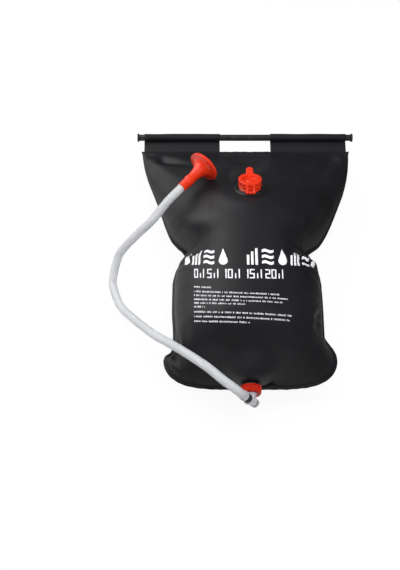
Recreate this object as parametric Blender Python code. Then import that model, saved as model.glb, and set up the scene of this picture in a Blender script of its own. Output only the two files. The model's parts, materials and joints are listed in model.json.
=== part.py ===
# Camp shower bag, filled and lying on its back.
# Metres, +Z up, +Y towards the hanging end, origin under the bag's middle on the ground.

import math

import bpy
import bmesh
from mathutils import Matrix, Vector

# Shared fits
FACE_GAP = 0.0003
CUT_OVERRUN = 0.003
MERGE_DISTANCE = 0.000001
SMOOTH_ANGLE = math.radians(38)
REST_ANGLE = math.radians(0.5)
ROUND_STEPS = 26
ROD_STEPS = 20
PIN_STEPS = 16
ARC_STEPS = 8

# Bag, as it lies filled
BAG_WIDTH = 0.406
BAG_LENGTH = 0.511
BAG_FOOT_Y = -0.25675
BAG_THICKNESS = 0.198
SEAM_HEIGHT = 0.080
SEAM_DROOP = 0.012
FILM = 0.0008
WELD_WIDTH = 0.008
FOOT_CORNER_RISE = 0.0562
FOOT_SQUARENESS = 4.5
FOOT_ROUNDING = 0.100
TOP_TAPER = 0.240
GROUND_OVERFILL = 1.45
SIDE_FULLNESS = 0.85
NOTCH_SPREAD = 3
END_SPREAD = 3
MITER_LIMIT = 0.75
COLUMNS = 16
COLUMN_CROWDING = 0.35
ROWS_TO_WAIST = 18
ROW_CROWDING = 1.25
ROWS_TO_TOP = 12
FOLD_DEPTH = 0.0065
FOLD_WIDTH = 0.0100
FOLD_FADE = 1.5
FOLD_REACH = 0.5

# Outline of each side, wing tip to top corner:
# share of the length from the foot, then share of the half width at the top
LEFT_SIDE_SHARES = (
    (0.110, 0.757), (0.126, 0.742), (0.140, 0.695), (0.157, 0.681), (0.202, 0.676), (0.300, 0.688),
    (0.400, 0.686), (0.450, 0.664), (0.485, 0.628), (0.505, 0.586), (0.518, 0.540), (0.532, 0.582),
    (0.556, 0.648), (0.590, 0.708), (0.658, 0.770),
    (0.728, 0.820), (0.798, 0.880), (0.870, 0.940), (0.930, 0.975), (1.000, 1.000))
RIGHT_SIDE_SHARES = (
    (0.110, 0.756), (0.128, 0.752), (0.145, 0.735), (0.165, 0.705), (0.185, 0.672), (0.202, 0.658),
    (0.300, 0.660), (0.400, 0.656), (0.450, 0.638), (0.485, 0.600), (0.505, 0.556), (0.518, 0.508),
    (0.532, 0.566), (0.556, 0.644), (0.590, 0.702),
    (0.658, 0.782), (0.728, 0.850), (0.798, 0.915), (0.870, 0.962), (0.930, 0.986), (1.000, 1.000))
WAIST_SHARE = 0.518
BELLY_SHARES = ((0.300, 0.670), (0.600, 0.720))

# Main folds of the front film: start and end, each as shares of the half width and of the length,
# then the share of the full fold depth
FOLD_SHARES = (
    ((-0.596, 0.479), (-0.256, 0.424), 0.55), ((0.576, 0.471), (0.197, 0.412), 0.55),
    ((-0.660, 0.170), (-0.581, 0.068), 0.95), ((0.650, 0.178), (0.522, 0.119), 0.95),
    ((0.640, 0.229), (0.512, 0.166), 0.75), ((-0.153, 0.851), (-0.177, 0.749), 0.95),
    ((-0.177, 0.749), (-0.128, 0.682), 0.60), ((-0.788, 0.937), (-0.493, 0.886), 0.45))

# Filler, welded to the front film; heights run along its own axis
FILLER_FROM_TOP = 0.157
FILLER_OFFSET = 0.0015
FILLER_TILT = math.radians(-28)
FILLER_FLAT_MARGIN = 0.009
FILLER_BLEND = 0.038
FILLER_BORE = 0.030
FILLER_NECK_WALL = 0.003
FILLER_NECK_DEPTH = 0.007
FILLER_FLANGE_DIAMETER = 0.057
FLANGE_THICKNESS = 0.0016
COLLAR_DIAMETER = 0.0405
COLLAR_HEIGHT = 0.0064
COLLAR_SEAT_DEPTH = 0.0014
SEAL_WIDTH = 0.0032
CAP_DIAMETER = 0.043
CAP_HEIGHT = 0.0118
CAP_ROOF = 0.0022
CAP_WALL = 0.0024
CAP_RECESS_DIAMETER = 0.027
CAP_RECESS_DEPTH = 0.0046
CAP_BOSS_DIAMETER = 0.0096
CAP_BOSS_HEIGHT = 0.0015
CAP_ROUNDING = 0.0012
TAB_WIDTH = 0.013
TAB_LENGTH = 0.0145
TAB_THICKNESS = 0.0026
TAB_RISE = math.radians(28)
PIN_DIAMETER = 0.0024
PIN_CLEARANCE = 0.00008
KNUCKLE_DIAMETER = 0.0062
KNUCKLE_WIDTH = 0.0066
HINGE_ARM_WIDTH = 0.0052
ARM_FOOT_SHARE = 0.6
HINGE_STANDOFF = 0.0036

# Outlet, in the front film at the foot
OUTLET_SEAM_CLEARANCE = 0.001
OUTLET_OFFSET = -0.0015
OUTLET_FROM_FOOT = 0.0135
OUTLET_FLAT_MARGIN = 0.0185
OUTLET_BLEND = 0.033
OUTLET_BORE = 0.019
SPIGOT_DIAMETER = 0.0262
THREAD_RELIEF = 0.0006
THREAD_CLEARANCE = 0.0003
OUTLET_FLANGE_DIAMETER = 0.038
WASHER_THICKNESS = 0.0018
NUT_DIAMETER = 0.0385
NUT_HEIGHT = 0.0135
NUT_FRONT_WALL = 0.0030
NUT_STANDOFF = 0.0175
NUT_RIBS = 24
STEPS_PER_RIB = 3
NUT_RIB_DEPTH = 0.0007
NUT_TAPER = 0.0012
TAP_FLANGE_THICKNESS = 0.0022
TAP_FACE_DIAMETER = 0.0200
TAP_FACE_HEIGHT = 0.0022
TAP_NECK_DIAMETER = 0.0135
TAP_WAY_DIAMETER = 0.0075
TAP_BARREL_DIAMETER = 0.0165
TAP_BARREL_BORE = 0.0105
TAP_BARREL_LENGTH = 0.0170
TAP_BARREL_SHIFT = 0.0010
TAP_MOUTH_DIAMETER = 0.0200
TAP_MOUTH_WIDTH = 0.0026
TAP_REACH = 0.0420
TAP_TURN = math.radians(30)
PLUG_CLEARANCE = 0.0003
PLUG_RIM = 0.0016
KEY_HUB_DIAMETER = 0.0120
KEY_HUB_HEIGHT = 0.0030
KEY_WING_LENGTH = 0.0140
KEY_WING_WIDTH = 0.0150
KEY_WING_THICKNESS = 0.0030
KEY_REST_TURN = math.radians(43)
BARB_COLLAR_DIAMETER = 0.0162
BARB_COLLAR_LENGTH = 0.0135
BARB_SPIGOT_DEPTH = 0.0030
BARB_WALL = 0.0018
CLIP_WIDTH = 0.0040
CLIP_WALL = 0.0009

# Hose; its route is chosen by hand and its two straight ends follow the fittings
HOSE_DIAMETER = 0.0168
HOSE_STRAIGHT = 0.012
HOSE_POINTS = 32
ROUTE_STEPS = 12

# Shower head; heights run along its own axis from the hose's end
HEAD_PLACE = (-0.1229, 0.0980, 0.1765)
HEAD_TURN = math.radians(-41)
HEAD_PITCH = math.radians(91)
SLEEVE_LENGTH = 0.0245
SLEEVE_END_DIAMETER = 0.0176
SLEEVE_MOUTH_DIAMETER = 0.0204
SLEEVE_BORE = 0.0110
SLEEVE_SPIGOT_DIAMETER = 0.0136
SLEEVE_SPIGOT_LENGTH = 0.0100
ORING_THICKNESS = 0.0016
BELL_NECK_DIAMETER = 0.0186
BELL_DIAMETER = 0.0600
BELL_LENGTH = 0.0415
BELL_STEPS = 7
BELL_FLARE_POWER = 1.25
BELL_WALL = 0.0020
BELL_RIM_WIDTH = 0.0030
BELL_RIM_HEIGHT = 0.0060
PLATE_THICKNESS = 0.0018
PLATE_SEAT_DEPTH = 0.0030
PLATE_DISH = 0.0022
PLATE_EDGE = 0.004
SPRAY_HOLE_DIAMETER = 0.0021
SPRAY_RINGS = 3
SPRAY_HOLES_PER_RING = 6
SPRAY_HOLE_STEPS = 6

# Hanging hem and rod, beyond the top weld
ROD_DIAMETER = 0.0125
ROD_WALL = 0.0018
ROD_OVERHANG = 0.006
ROD_FROM_EDGE = 0.031
HEM_CLEARANCE = 0.0003
HEM_LAP = 0.006
HEM_WINDOW = 0.100
HEM_INSET = 0.004
ROD_CAP_DIAMETER = 0.0165
ROD_CAP_HEAD = 0.0035
ROD_CAP_SPIGOT = 0.010

# Values that follow
TOP_Y = BAG_FOOT_Y + BAG_LENGTH
HALF_WIDTH = BAG_WIDTH / 2
CROWN_RISE = BAG_THICKNESS - SEAM_HEIGHT
HALF_GAP = FACE_GAP / 2
FOOT_CORNER_Y = BAG_FOOT_Y + FOOT_CORNER_RISE
WAIST_Y = BAG_FOOT_Y + BAG_LENGTH * WAIST_SHARE
OUTLET_HEIGHT = SEAM_HEIGHT + OUTLET_FLANGE_DIAMETER / 2 + OUTLET_SEAM_CLEARANCE


# Materials

def plastic(name, colour, roughness, transmission=0.0):
    material = bpy.data.materials.new(name)
    material.use_nodes = True
    shader = material.node_tree.nodes["Principled BSDF"]
    shader.inputs["Base Color"].default_value = (*colour, 1)
    shader.inputs["Roughness"].default_value = roughness
    shader.inputs["Metallic"].default_value = 0
    shader.inputs["Transmission Weight"].default_value = transmission
    material.diffuse_color = (*colour, 1)
    return material


def make_materials():
    return {
        "film": plastic("black_film", (0.022, 0.022, 0.025), 0.38),
        "black": plastic("black_plastic", (0.012, 0.012, 0.013), 0.45),
        "red": plastic("red_plastic", (0.62, 0.028, 0.008), 0.30),
        "clear": plastic("clear_plastic", (0.62, 0.61, 0.64), 0.25, 0.5),
        "grey": plastic("grey_plastic", (0.40, 0.40, 0.41), 0.30, 0.3),
        "seal": plastic("white_rubber", (0.60, 0.60, 0.58), 0.60),
        "hose": plastic("milky_hose", (0.66, 0.67, 0.70), 0.25, 0.4)}


# Modelling helpers

def add_object(name, mesh, material, parent=None, location=(0, 0, 0), rotation=(0, 0, 0)):
    made = bpy.data.objects.new(name, mesh)
    bpy.context.scene.collection.objects.link(made)
    if material is not None:
        mesh.materials.append(material)
    made.parent = parent
    made.location = location
    made.rotation_euler = rotation
    return made


def add_place(name, matrix):
    place = bpy.data.objects.new(name, None)
    bpy.context.scene.collection.objects.link(place)
    place.matrix_world = matrix
    return place


def finish_mesh(name, bm):
    bmesh.ops.remove_doubles(bm, verts=bm.verts, dist=MERGE_DISTANCE)
    bmesh.ops.recalc_face_normals(bm, faces=bm.faces)
    mesh = bpy.data.meshes.new(name)
    bm.to_mesh(mesh)
    bm.free()
    mesh.shade_smooth()
    mesh.set_sharp_from_angle(angle=SMOOTH_ANGLE)
    return mesh


def turned_mesh(name, profile, steps=ROUND_STEPS):
    """Turn a profile of (radius, height) points about +Z; it closes on itself or on the axis."""
    bm = bmesh.new()
    corners = [bm.verts.new((radius, 0, height)) for radius, height in profile]
    edges = [bm.edges.new(pair) for pair in zip(corners, corners[1:])]
    if profile[0][0] > 0:
        edges.append(bm.edges.new((corners[-1], corners[0])))
    bmesh.ops.spin(bm, geom=corners + edges, cent=(0, 0, 0), axis=(0, 0, 1),
                   angle=math.tau, steps=steps, use_merge=True)
    return finish_mesh(name, bm)


def slab_mesh(name, outline, low, high):
    """Extrude an outline of (x, y) points from one height to another."""
    bm = bmesh.new()
    face = bm.faces.new([bm.verts.new((x, y, low)) for x, y in outline])
    grown = bmesh.ops.extrude_face_region(bm, geom=[face])
    raised = [item for item in grown["geom"] if isinstance(item, bmesh.types.BMVert)]
    bmesh.ops.translate(bm, verts=raised, vec=(0, 0, high - low))
    return finish_mesh(name, bm)


def box_outline(left, right, low, high):
    return [(left, low), (right, low), (right, high), (left, high)]


def tongue_outline(width, length):
    """A strip from the origin along +Y with a half-round end."""
    radius = width / 2
    outline = [(-radius, 0), (radius, 0)]
    for step in range(ARC_STEPS + 1):
        angle = math.pi * step / ARC_STEPS
        outline.append((radius * math.cos(angle), length - radius + radius * math.sin(angle)))
    return outline


def combine(base, tool, operation):
    """Join the tool to the base or cut it out; the tool stays as a hidden guide."""
    tool.hide_render = True
    tool.display_type = "WIRE"
    modifier = base.modifiers.new(operation.lower(), "BOOLEAN")
    modifier.operation = operation
    modifier.solver = "EXACT"
    modifier.object = tool


def cut(base, tool):
    combine(base, tool, "DIFFERENCE")


def fuse(base, tool):
    combine(base, tool, "UNION")


def cylinder_mesh(name, diameter, low, high, steps=ROUND_STEPS):
    radius = diameter / 2
    return turned_mesh(name, [(0, low), (radius, low), (radius, high), (0, high)], steps)


def tube_profile(outer, inner, low, high):
    """Square profile of a ring, from its two diameters."""
    return [(inner / 2, low), (outer / 2, low), (outer / 2, high), (inner / 2, high)]


# Form of the filled bag

def read_shares(table, share):
    """Smooth value between the table's points, flat at its highs and lows."""
    if share <= table[0][0]:
        return table[0][1]
    for index in range(len(table) - 1):
        start, first = table[index]
        end, second = table[index + 1]
        if share <= end:
            break
    else:
        return table[-1][1]
    slope = (second - first) / (end - start)
    tangents = []
    for point in (index, index + 1):
        if 0 < point < len(table) - 1:
            before = (table[point][1] - table[point - 1][1]) / (table[point][0] - table[point - 1][0])
            after = (table[point + 1][1] - table[point][1]) / (table[point + 1][0] - table[point][0])
            tangents.append(0 if before * after <= 0 else 2 * before * after / (before + after))
        else:
            tangents.append(slope)
    t = (share - start) / (end - start)
    span = end - start
    return ((2 * t**3 - 3 * t**2 + 1) * first + (t**3 - 2 * t**2 + t) * span * tangents[0]
            + (3 * t**2 - 2 * t**3) * second + (t**3 - t**2) * span * tangents[1])


def smooth_step(value):
    value = min(1, max(0, value))
    return value * value * (3 - 2 * value)


def seam_height(y):
    return SEAM_HEIGHT - SEAM_DROOP * smooth_step((y - WAIST_Y) / (TOP_Y - WAIST_Y))


def side_point(shares, side, y):
    return Vector((side * HALF_WIDTH * read_shares(shares, (y - BAG_FOOT_Y) / BAG_LENGTH), y))


def row_heights():
    lower = [FOOT_CORNER_Y + (WAIST_Y - FOOT_CORNER_Y) * (row / ROWS_TO_WAIST) ** ROW_CROWDING
             for row in range(ROWS_TO_WAIST)]
    upper = [WAIST_Y + (TOP_Y - WAIST_Y) * row / ROWS_TO_TOP for row in range(ROWS_TO_TOP + 1)]
    return lower + upper


def column_turn(column):
    """Angle from the middle line to a column; columns crowd at the middle and at the sides."""
    place = 2 * column / COLUMNS - 1
    return math.pi / 2 * (place - COLUMN_CROWDING * math.sin(math.tau * place) / math.tau)


def column_share(column):
    return math.sin(column_turn(column))


def foot_point(share, left_x, right_x):
    """A point of the foot's arc between its two corners."""
    x = left_x + (right_x - left_x) * (share + 1) / 2
    drop = math.sqrt(max(0, 1 - abs(share) ** FOOT_SQUARENESS))
    return Vector((x, FOOT_CORNER_Y - FOOT_CORNER_RISE * drop))


def outline_loops():
    """The bag's outer edge as four runs of points: left, foot, right and top."""
    rows = row_heights()
    left = [side_point(LEFT_SIDE_SHARES, -1, y) for y in rows]
    right = [side_point(RIGHT_SIDE_SHARES, 1, y) for y in rows]
    columns = range(COLUMNS + 1)
    foot = [foot_point(column_share(column), left[0].x, right[0].x) for column in columns]
    top = [Vector((HALF_WIDTH * column_share(column), TOP_Y)) for column in columns]
    return left, foot, right, top


def loop_order(left, foot, right, top):
    """The four runs as one closed loop, anticlockwise."""
    return foot[:-1] + right[:-1] + top[:0:-1] + left[:0:-1]


def inset_loop(loop, distance):
    """Move a closed loop inwards by one distance, square to its edges."""
    count = len(loop)
    moved = []
    for index, point in enumerate(loop):
        before = (point - loop[index - 1]).normalized()
        after = (loop[(index + 1) % count] - point).normalized()
        tangent = (before + after).normalized()
        inward = Vector((-tangent.y, tangent.x))
        miter = max(MITER_LIMIT, tangent.dot(after))
        moved.append(point + inward * distance / miter)
    return moved


def split_loop(loop):
    """Back from one closed loop to its left, foot, right and top runs."""
    rows = ROWS_TO_WAIST + ROWS_TO_TOP
    foot = loop[:COLUMNS + 1]
    right = loop[COLUMNS:COLUMNS + rows + 1]
    top = loop[COLUMNS + rows:2 * COLUMNS + rows + 1]
    left = loop[2 * COLUMNS + rows:] + loop[:1]
    return left[::-1], foot, right, top[::-1]


def smooth_side(run, shares_side):
    """The side without its notches, from corner to corner."""
    low = (run[0].y, abs(run[0].x))
    high = (run[-1].y, abs(run[-1].x))
    middle = [(BAG_FOOT_Y + BAG_LENGTH * place, HALF_WIDTH * share) for place, share in BELLY_SHARES]
    table = [low, *middle, high]
    return [Vector((shares_side * read_shares(table, point.y), point.y)) for point in run]


def plan_grid(left, foot, right, top):
    """Plan positions of the film inside the weld; notches in the sides fade inwards."""
    rows = len(left)
    calm_left = smooth_side(left, -1)
    calm_right = smooth_side(right, 1)
    grid = []
    for row in range(rows):
        up = row / (rows - 1)
        line = []
        for column in range(COLUMNS + 1):
            share = column_share(column)
            across = (share + 1) / 2
            sides = calm_left[row].lerp(calm_right[row], across)
            foot_pull = foot[column] - foot[0].lerp(foot[-1], across)
            top_pull = top[column] - top[0].lerp(top[-1], across)
            point = sides + foot_pull * (1 - up) ** END_SPREAD + top_pull * up ** END_SPREAD
            if share < 0:
                point += (left[row] - calm_left[row]) * (-share) ** NOTCH_SPREAD
            else:
                point += (right[row] - calm_right[row]) * share ** NOTCH_SPREAD
            line.append(point)
        grid.append(line)
    return grid


def length_swell(y, foot_y, top_y):
    """How full the bag is along its length: round at the foot, long taper to the top."""
    foot = math.sin(math.pi / 2 * min(1, max(0, (y - foot_y) / FOOT_ROUNDING)))
    top = math.sin(math.pi / 2 * min(1, max(0, (top_y - y) / TOP_TAPER)))
    return foot * top


def crown_height(y):
    """Height of the front film over the middle line, away from the foot."""
    return seam_height(y) + CROWN_RISE * length_swell(y, BAG_FOOT_Y + WELD_WIDTH, TOP_Y - WELD_WIDTH)


def filler_matrix():
    y = TOP_Y - FILLER_FROM_TOP
    place = Vector((FILLER_OFFSET, y, crown_height(y)))
    return Matrix.Translation(place) @ Matrix.Rotation(FILLER_TILT, 4, "X")


def outlet_matrix():
    place = Vector((OUTLET_OFFSET, BAG_FOOT_Y + OUTLET_FROM_FOOT, OUTLET_HEIGHT))
    return Matrix.Translation(place) @ Matrix.Rotation(math.pi / 2, 4, "X")


def settle_on_flange(point, matrix, flat_radius, blend):
    """Draw the film flat against a flange lying on the matrix's XY plane."""
    local = matrix.inverted() @ point
    distance = math.hypot(local.x, local.y)
    if abs(local.z) > flat_radius + blend:
        return point
    weight = 1 - smooth_step((distance - flat_radius) / blend)
    local.z *= 1 - weight
    return matrix @ local


def swell(column, y, foot_y, top_y):
    """Share of the full rise or depth at one point of the film, from its column and its place along Y."""
    return max(0, math.cos(column_turn(column))) ** SIDE_FULLNESS * length_swell(y, foot_y, top_y)


def weld_point(point, side):
    return Vector((point.x, point.y, seam_height(point.y) + side * HALF_GAP))


def fold_share(point):
    """How deep the main folds run at one point in plan."""
    total = 0
    for start_shares, end_shares, depth in FOLD_SHARES:
        start, end = (Vector((HALF_WIDTH * across, BAG_FOOT_Y + BAG_LENGTH * up))
                      for across, up in (start_shares, end_shares))
        run = end - start
        along = min(1, max(0, (point - start).dot(run) / run.length_squared))
        distance = (point - start.lerp(end, along)).length
        total += depth * (1 - along**FOLD_FADE) * math.exp(-(distance / FOLD_WIDTH) ** 2)
    return total


def front_point(point, fullness):
    """The front film stands up from the seam, dips into its folds and lies flat on both flanges."""
    raised = weld_point(point, 1)
    rise = CROWN_RISE * fullness
    raised.z += rise - min(FOLD_DEPTH * fold_share(point), FOLD_REACH * rise)
    outlet_radius = OUTLET_FLANGE_DIAMETER / 2 + OUTLET_FLAT_MARGIN
    filler_radius = FILLER_FLANGE_DIAMETER / 2 + FILLER_FLAT_MARGIN
    raised = settle_on_flange(raised, outlet_matrix(), outlet_radius, OUTLET_BLEND)
    return settle_on_flange(raised, filler_matrix(), filler_radius, FILLER_BLEND)


def back_point(point, fullness):
    """The back film hangs from the seam and lies flat on the ground."""
    hung = weld_point(point, -1)
    hung.z -= (hung.z - FILM) * min(1, fullness * GROUND_OVERFILL)
    return hung


def panel_mesh(film_point, side):
    """One film: its swollen middle inside the weld, and the flat weld around it."""
    outer = loop_order(*outline_loops())
    inner = inset_loop(outer, WELD_WIDTH)
    left, foot, right, top = split_loop(inner)
    plan = plan_grid(left, foot, right, top)
    last_row = len(plan) - 1
    bm = bmesh.new()
    grid = []
    for row, line in enumerate(plan):
        places = []
        for column, point in enumerate(line):
            on_weld = row in (0, last_row) or column in (0, COLUMNS)
            fullness = swell(column, point.y, foot[column].y, top[column].y)
            places.append(weld_point(point, side) if on_weld else film_point(point, fullness))
        grid.append([bm.verts.new(place) for place in places])
    for lower, upper in zip(grid, grid[1:]):
        for column in range(COLUMNS):
            bm.faces.new((lower[column], lower[column + 1], upper[column + 1], upper[column]))
    rim = loop_order([line[0] for line in grid], grid[0], [line[-1] for line in grid], grid[-1])
    edge = [bm.verts.new(weld_point(point, side)) for point in outer]
    for index in range(len(rim)):
        following = (index + 1) % len(rim)
        bm.faces.new((edge[index], edge[following], rim[following], rim[index]))
    if side < 0:
        bmesh.ops.reverse_faces(bm, faces=bm.faces)
        resting = [vert for vert in bm.verts if vert.co.z < FILM + MERGE_DISTANCE]
        inner = [link for link in bm.edges if all(face.calc_center_median().z < FILM + MERGE_DISTANCE
                                                  for face in link.link_faces)]
        bmesh.ops.dissolve_limit(bm, angle_limit=REST_ANGLE, verts=resting, edges=inner)
    return bm


def film_object(name, film_point, side, materials):
    bm = panel_mesh(film_point, side)
    mesh = bpy.data.meshes.new(name)
    bm.to_mesh(mesh)
    bm.free()
    mesh.shade_smooth()
    film = add_object(name, mesh, materials["film"])
    thicken = film.modifiers.new("film", "SOLIDIFY")
    thicken.thickness = FILM
    thicken.offset = 1
    thicken.use_even_offset = False
    return film


def build_bag(materials, filler, outlet):
    front = film_object("front_panel", front_point, 1, materials)
    film_object("back_panel", back_point, -1, materials)
    filler_hole = cylinder_mesh("filler_hole", neck_diameter() + 2 * FACE_GAP,
                                -FILLER_NECK_DEPTH - CUT_OVERRUN, FILM + CUT_OVERRUN)
    cut(front, add_object("filler_hole", filler_hole, None, filler))
    outlet_hole = cylinder_mesh("outlet_hole", SPIGOT_DIAMETER + 2 * FACE_GAP,
                                -CUT_OVERRUN, FILM + CUT_OVERRUN)
    cut(front, add_object("outlet_hole", outlet_hole, None, outlet))


# Hanging hem and rod

def rod_place():
    return Vector((0, TOP_Y + ROD_FROM_EDGE, seam_height(TOP_Y) + HALF_GAP + FILM + FACE_GAP + FILM))


def hem_object(name, side, materials):
    """A sleeve for the rod and its double tail, lapped on the front film's top weld."""
    place = rod_place()
    inside = ROD_DIAMETER + 2 * HEM_CLEARANCE
    outside = inside + 2 * FILM
    length = HALF_WIDTH - HEM_INSET - HEM_WINDOW / 2
    start = HEM_WINDOW / 2 if side > 0 else HEM_INSET - HALF_WIDTH
    sleeve = turned_mesh(name, tube_profile(outside, inside, 0, length), ROD_STEPS)
    hem = add_object(name, sleeve, materials["film"], None, (start, place.y, place.z),
                     (math.pi / 2, 0, math.pi / 2))
    tail_end = place.y - TOP_Y + HEM_LAP
    tail = slab_mesh(name + "_tail", box_outline(-tail_end, -(inside + FILM) / 2, -FILM, FILM), 0, length)
    fuse(hem, add_object(name + "_tail", tail, None, hem))
    return hem


def build_rod(materials):
    place = rod_place()
    half = HALF_WIDTH + ROD_OVERHANG
    bore = ROD_DIAMETER - 2 * ROD_WALL
    along_x = (0, math.pi / 2, 0)
    mesh = turned_mesh("hanging_rod", tube_profile(ROD_DIAMETER, bore, -half, half), ROD_STEPS)
    add_object("hanging_rod", mesh, materials["black"], None, place, along_x)
    for name, side in (("rod_cap_left", -1), ("rod_cap_right", 1)):
        spigot = bore / 2 - FACE_GAP
        head = ROD_CAP_DIAMETER / 2
        rounding = ROD_CAP_HEAD / 2
        profile = [(0, -ROD_CAP_SPIGOT), (spigot, -ROD_CAP_SPIGOT), (spigot, 0), (head, 0),
                   (head, rounding), (head - rounding, ROD_CAP_HEAD), (0, ROD_CAP_HEAD)]
        mesh = turned_mesh(name, profile, ROD_STEPS)
        end = place + Vector((side * (half + FACE_GAP), 0, 0))
        add_object(name, mesh, materials["black"], None, end, (0, side * math.pi / 2, 0))


# Filler and its flip cap

def neck_diameter():
    return FILLER_BORE + 2 * FILLER_NECK_WALL


def collar_base():
    return FILM + 2 * FACE_GAP + FLANGE_THICKNESS


def collar_top():
    return collar_base() + COLLAR_HEIGHT


def hinge_place():
    """The cap's hinge line, at the foot side of the collar."""
    reach = CAP_DIAMETER / 2 + HINGE_STANDOFF
    return Vector((0, -reach, collar_base() + KNUCKLE_DIAMETER / 2))


def build_filler_flange(place, materials):
    low = FILM + FACE_GAP
    high = low + FLANGE_THICKNESS
    neck = neck_diameter() / 2
    bore = FILLER_BORE / 2
    rim = FILLER_FLANGE_DIAMETER / 2
    bevel = FLANGE_THICKNESS / 2
    profile = [(bore, -FILLER_NECK_DEPTH), (neck, -FILLER_NECK_DEPTH), (neck, low), (rim, low),
               (rim, low + bevel), (rim - bevel, high), (bore, high)]
    add_object("filler_flange", turned_mesh("filler_flange", profile), materials["black"], place)


def build_filler_collar(place, materials):
    low = collar_base()
    high = collar_top()
    outside = COLLAR_DIAMETER / 2
    bore = FILLER_BORE / 2
    seat = bore + SEAL_WIDTH + FACE_GAP
    waist = COLLAR_HEIGHT / 4
    profile = [(bore, low), (outside, low), (outside, low + waist), (outside - waist, low + 2 * waist),
               (outside - waist, high), (seat, high), (seat, high - COLLAR_SEAT_DEPTH),
               (bore, high - COLLAR_SEAT_DEPTH)]
    collar = add_object("filler_collar", turned_mesh("filler_collar", profile), materials["red"], place)
    hinge = hinge_place()
    half = KNUCKLE_WIDTH / 2
    radius = KNUCKLE_DIAMETER / 2
    across = (0, math.pi / 2, 0)
    knuckle = cylinder_mesh("collar_knuckle", KNUCKLE_DIAMETER, -half, half, PIN_STEPS)
    fuse(collar, add_object("collar_knuckle", knuckle, None, place, hinge, across))
    web = slab_mesh("collar_web", box_outline(-half, half, hinge.y, -outside + 2 * waist),
                    low, low + radius)
    fuse(collar, add_object("collar_web", web, None, place))
    bore_cut = cylinder_mesh("collar_pin_hole", PIN_DIAMETER + 2 * PIN_CLEARANCE,
                             -half - CUT_OVERRUN, half + CUT_OVERRUN, PIN_STEPS)
    cut(collar, add_object("collar_pin_hole", bore_cut, None, place, hinge, across))
    seal = turned_mesh("filler_seal", tube_profile(FILLER_BORE + 2 * SEAL_WIDTH, FILLER_BORE,
                                                   high - COLLAR_SEAT_DEPTH + FACE_GAP, high))
    add_object("filler_seal", seal, materials["seal"], place)


def build_filler_pin(place, materials):
    half = KNUCKLE_WIDTH / 2 + FACE_GAP + HINGE_ARM_WIDTH
    mesh = cylinder_mesh("filler_pin", PIN_DIAMETER, -half, half, PIN_STEPS)
    add_object("filler_pin", mesh, materials["black"], place, hinge_place(), (0, math.pi / 2, 0))


def cap_profile():
    """Half section of the cap about the filler's axis, from its lower lip round to the recess."""
    low = collar_top() + FACE_GAP
    high = low + CAP_HEIGHT
    outside = CAP_DIAMETER / 2
    inside = outside - CAP_WALL
    recess = CAP_RECESS_DIAMETER / 2
    floor = high - CAP_RECESS_DEPTH
    boss = CAP_BOSS_DIAMETER / 2
    return [(0, floor - CAP_ROOF), (recess + CAP_ROOF, floor - CAP_ROOF),
            (recess + CAP_ROOF, high - CAP_ROOF), (inside, high - CAP_ROOF), (inside, low),
            (outside, low), (outside, high - CAP_ROUNDING), (outside - CAP_ROUNDING, high),
            (recess + CAP_ROUNDING, high), (recess, high - CAP_ROUNDING), (recess, floor),
            (boss + CAP_BOSS_HEIGHT, floor), (boss, floor + CAP_BOSS_HEIGHT),
            (0, floor + CAP_BOSS_HEIGHT)]


def shifted(profile, origin):
    return [(radius, height - origin) for radius, height in profile]


def build_filler_cap(place, materials):
    hinge = hinge_place()
    low = collar_top() + FACE_GAP
    high = low + CAP_HEIGHT
    body = turned_mesh("filler_cap", shifted(cap_profile(), hinge.z))
    body.transform(Matrix.Translation((0, -hinge.y, 0)))
    cap = add_object("filler_cap", body, materials["red"], place, hinge)
    radius = KNUCKLE_DIAMETER / 2
    wall = -hinge.y - CAP_DIAMETER / 2 + CAP_WALL / 2
    inner = KNUCKLE_WIDTH / 2 + FACE_GAP
    outer = inner + HINGE_ARM_WIDTH
    across = (0, math.pi / 2, 0)
    for name, side in (("cap_arm_left", -1), ("cap_arm_right", 1)):
        middle = side * (inner + outer) / 2
        half = HINGE_ARM_WIDTH / 2
        lug = cylinder_mesh(name + "_eye", KNUCKLE_DIAMETER, -half, half, PIN_STEPS)
        fuse(cap, add_object(name + "_eye", lug, None, cap, (middle, 0, 0), across))
        outline = [(-radius, 0), (radius * ARM_FOOT_SHARE, 0), (wall, low - hinge.z),
                   (wall, high - hinge.z - CAP_ROUNDING), (wall - CAP_WALL, high - hinge.z - CAP_ROUNDING)]
        arm = slab_mesh(name, outline, -half, half)
        fuse(cap, add_object(name, arm, None, cap, (middle, 0, 0), (math.pi / 2, 0, math.pi / 2)))
    hole = cylinder_mesh("cap_pin_hole", PIN_DIAMETER + 2 * PIN_CLEARANCE,
                         -outer - CUT_OVERRUN, outer + CUT_OVERRUN, PIN_STEPS)
    cut(cap, add_object("cap_pin_hole", hole, None, cap, (0, 0, 0), across))
    tab = slab_mesh("cap_tab", tongue_outline(TAB_WIDTH, TAB_LENGTH + CAP_WALL), 0, TAB_THICKNESS)
    root = Vector((0, CAP_DIAMETER / 2 - CAP_WALL - hinge.y, high - hinge.z - TAB_THICKNESS - CAP_ROUNDING))
    fuse(cap, add_object("cap_tab", tab, None, cap, root, (TAB_RISE, 0, 0)))


def build_filler(place, materials):
    build_filler_flange(place, materials)
    build_filler_collar(place, materials)
    build_filler_pin(place, materials)
    build_filler_cap(place, materials)


# Outlet, union nut and tap

def nut_front():
    return NUT_STANDOFF + NUT_HEIGHT


def nut_inside():
    return SPIGOT_DIAMETER / 2 + THREAD_CLEARANCE


def tap_flange_top():
    return nut_front() - NUT_FRONT_WALL - FACE_GAP


def washer_top():
    return tap_flange_top() - TAP_FLANGE_THICKNESS - FACE_GAP


def spigot_tip():
    return washer_top() - WASHER_THICKNESS - FACE_GAP


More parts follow.
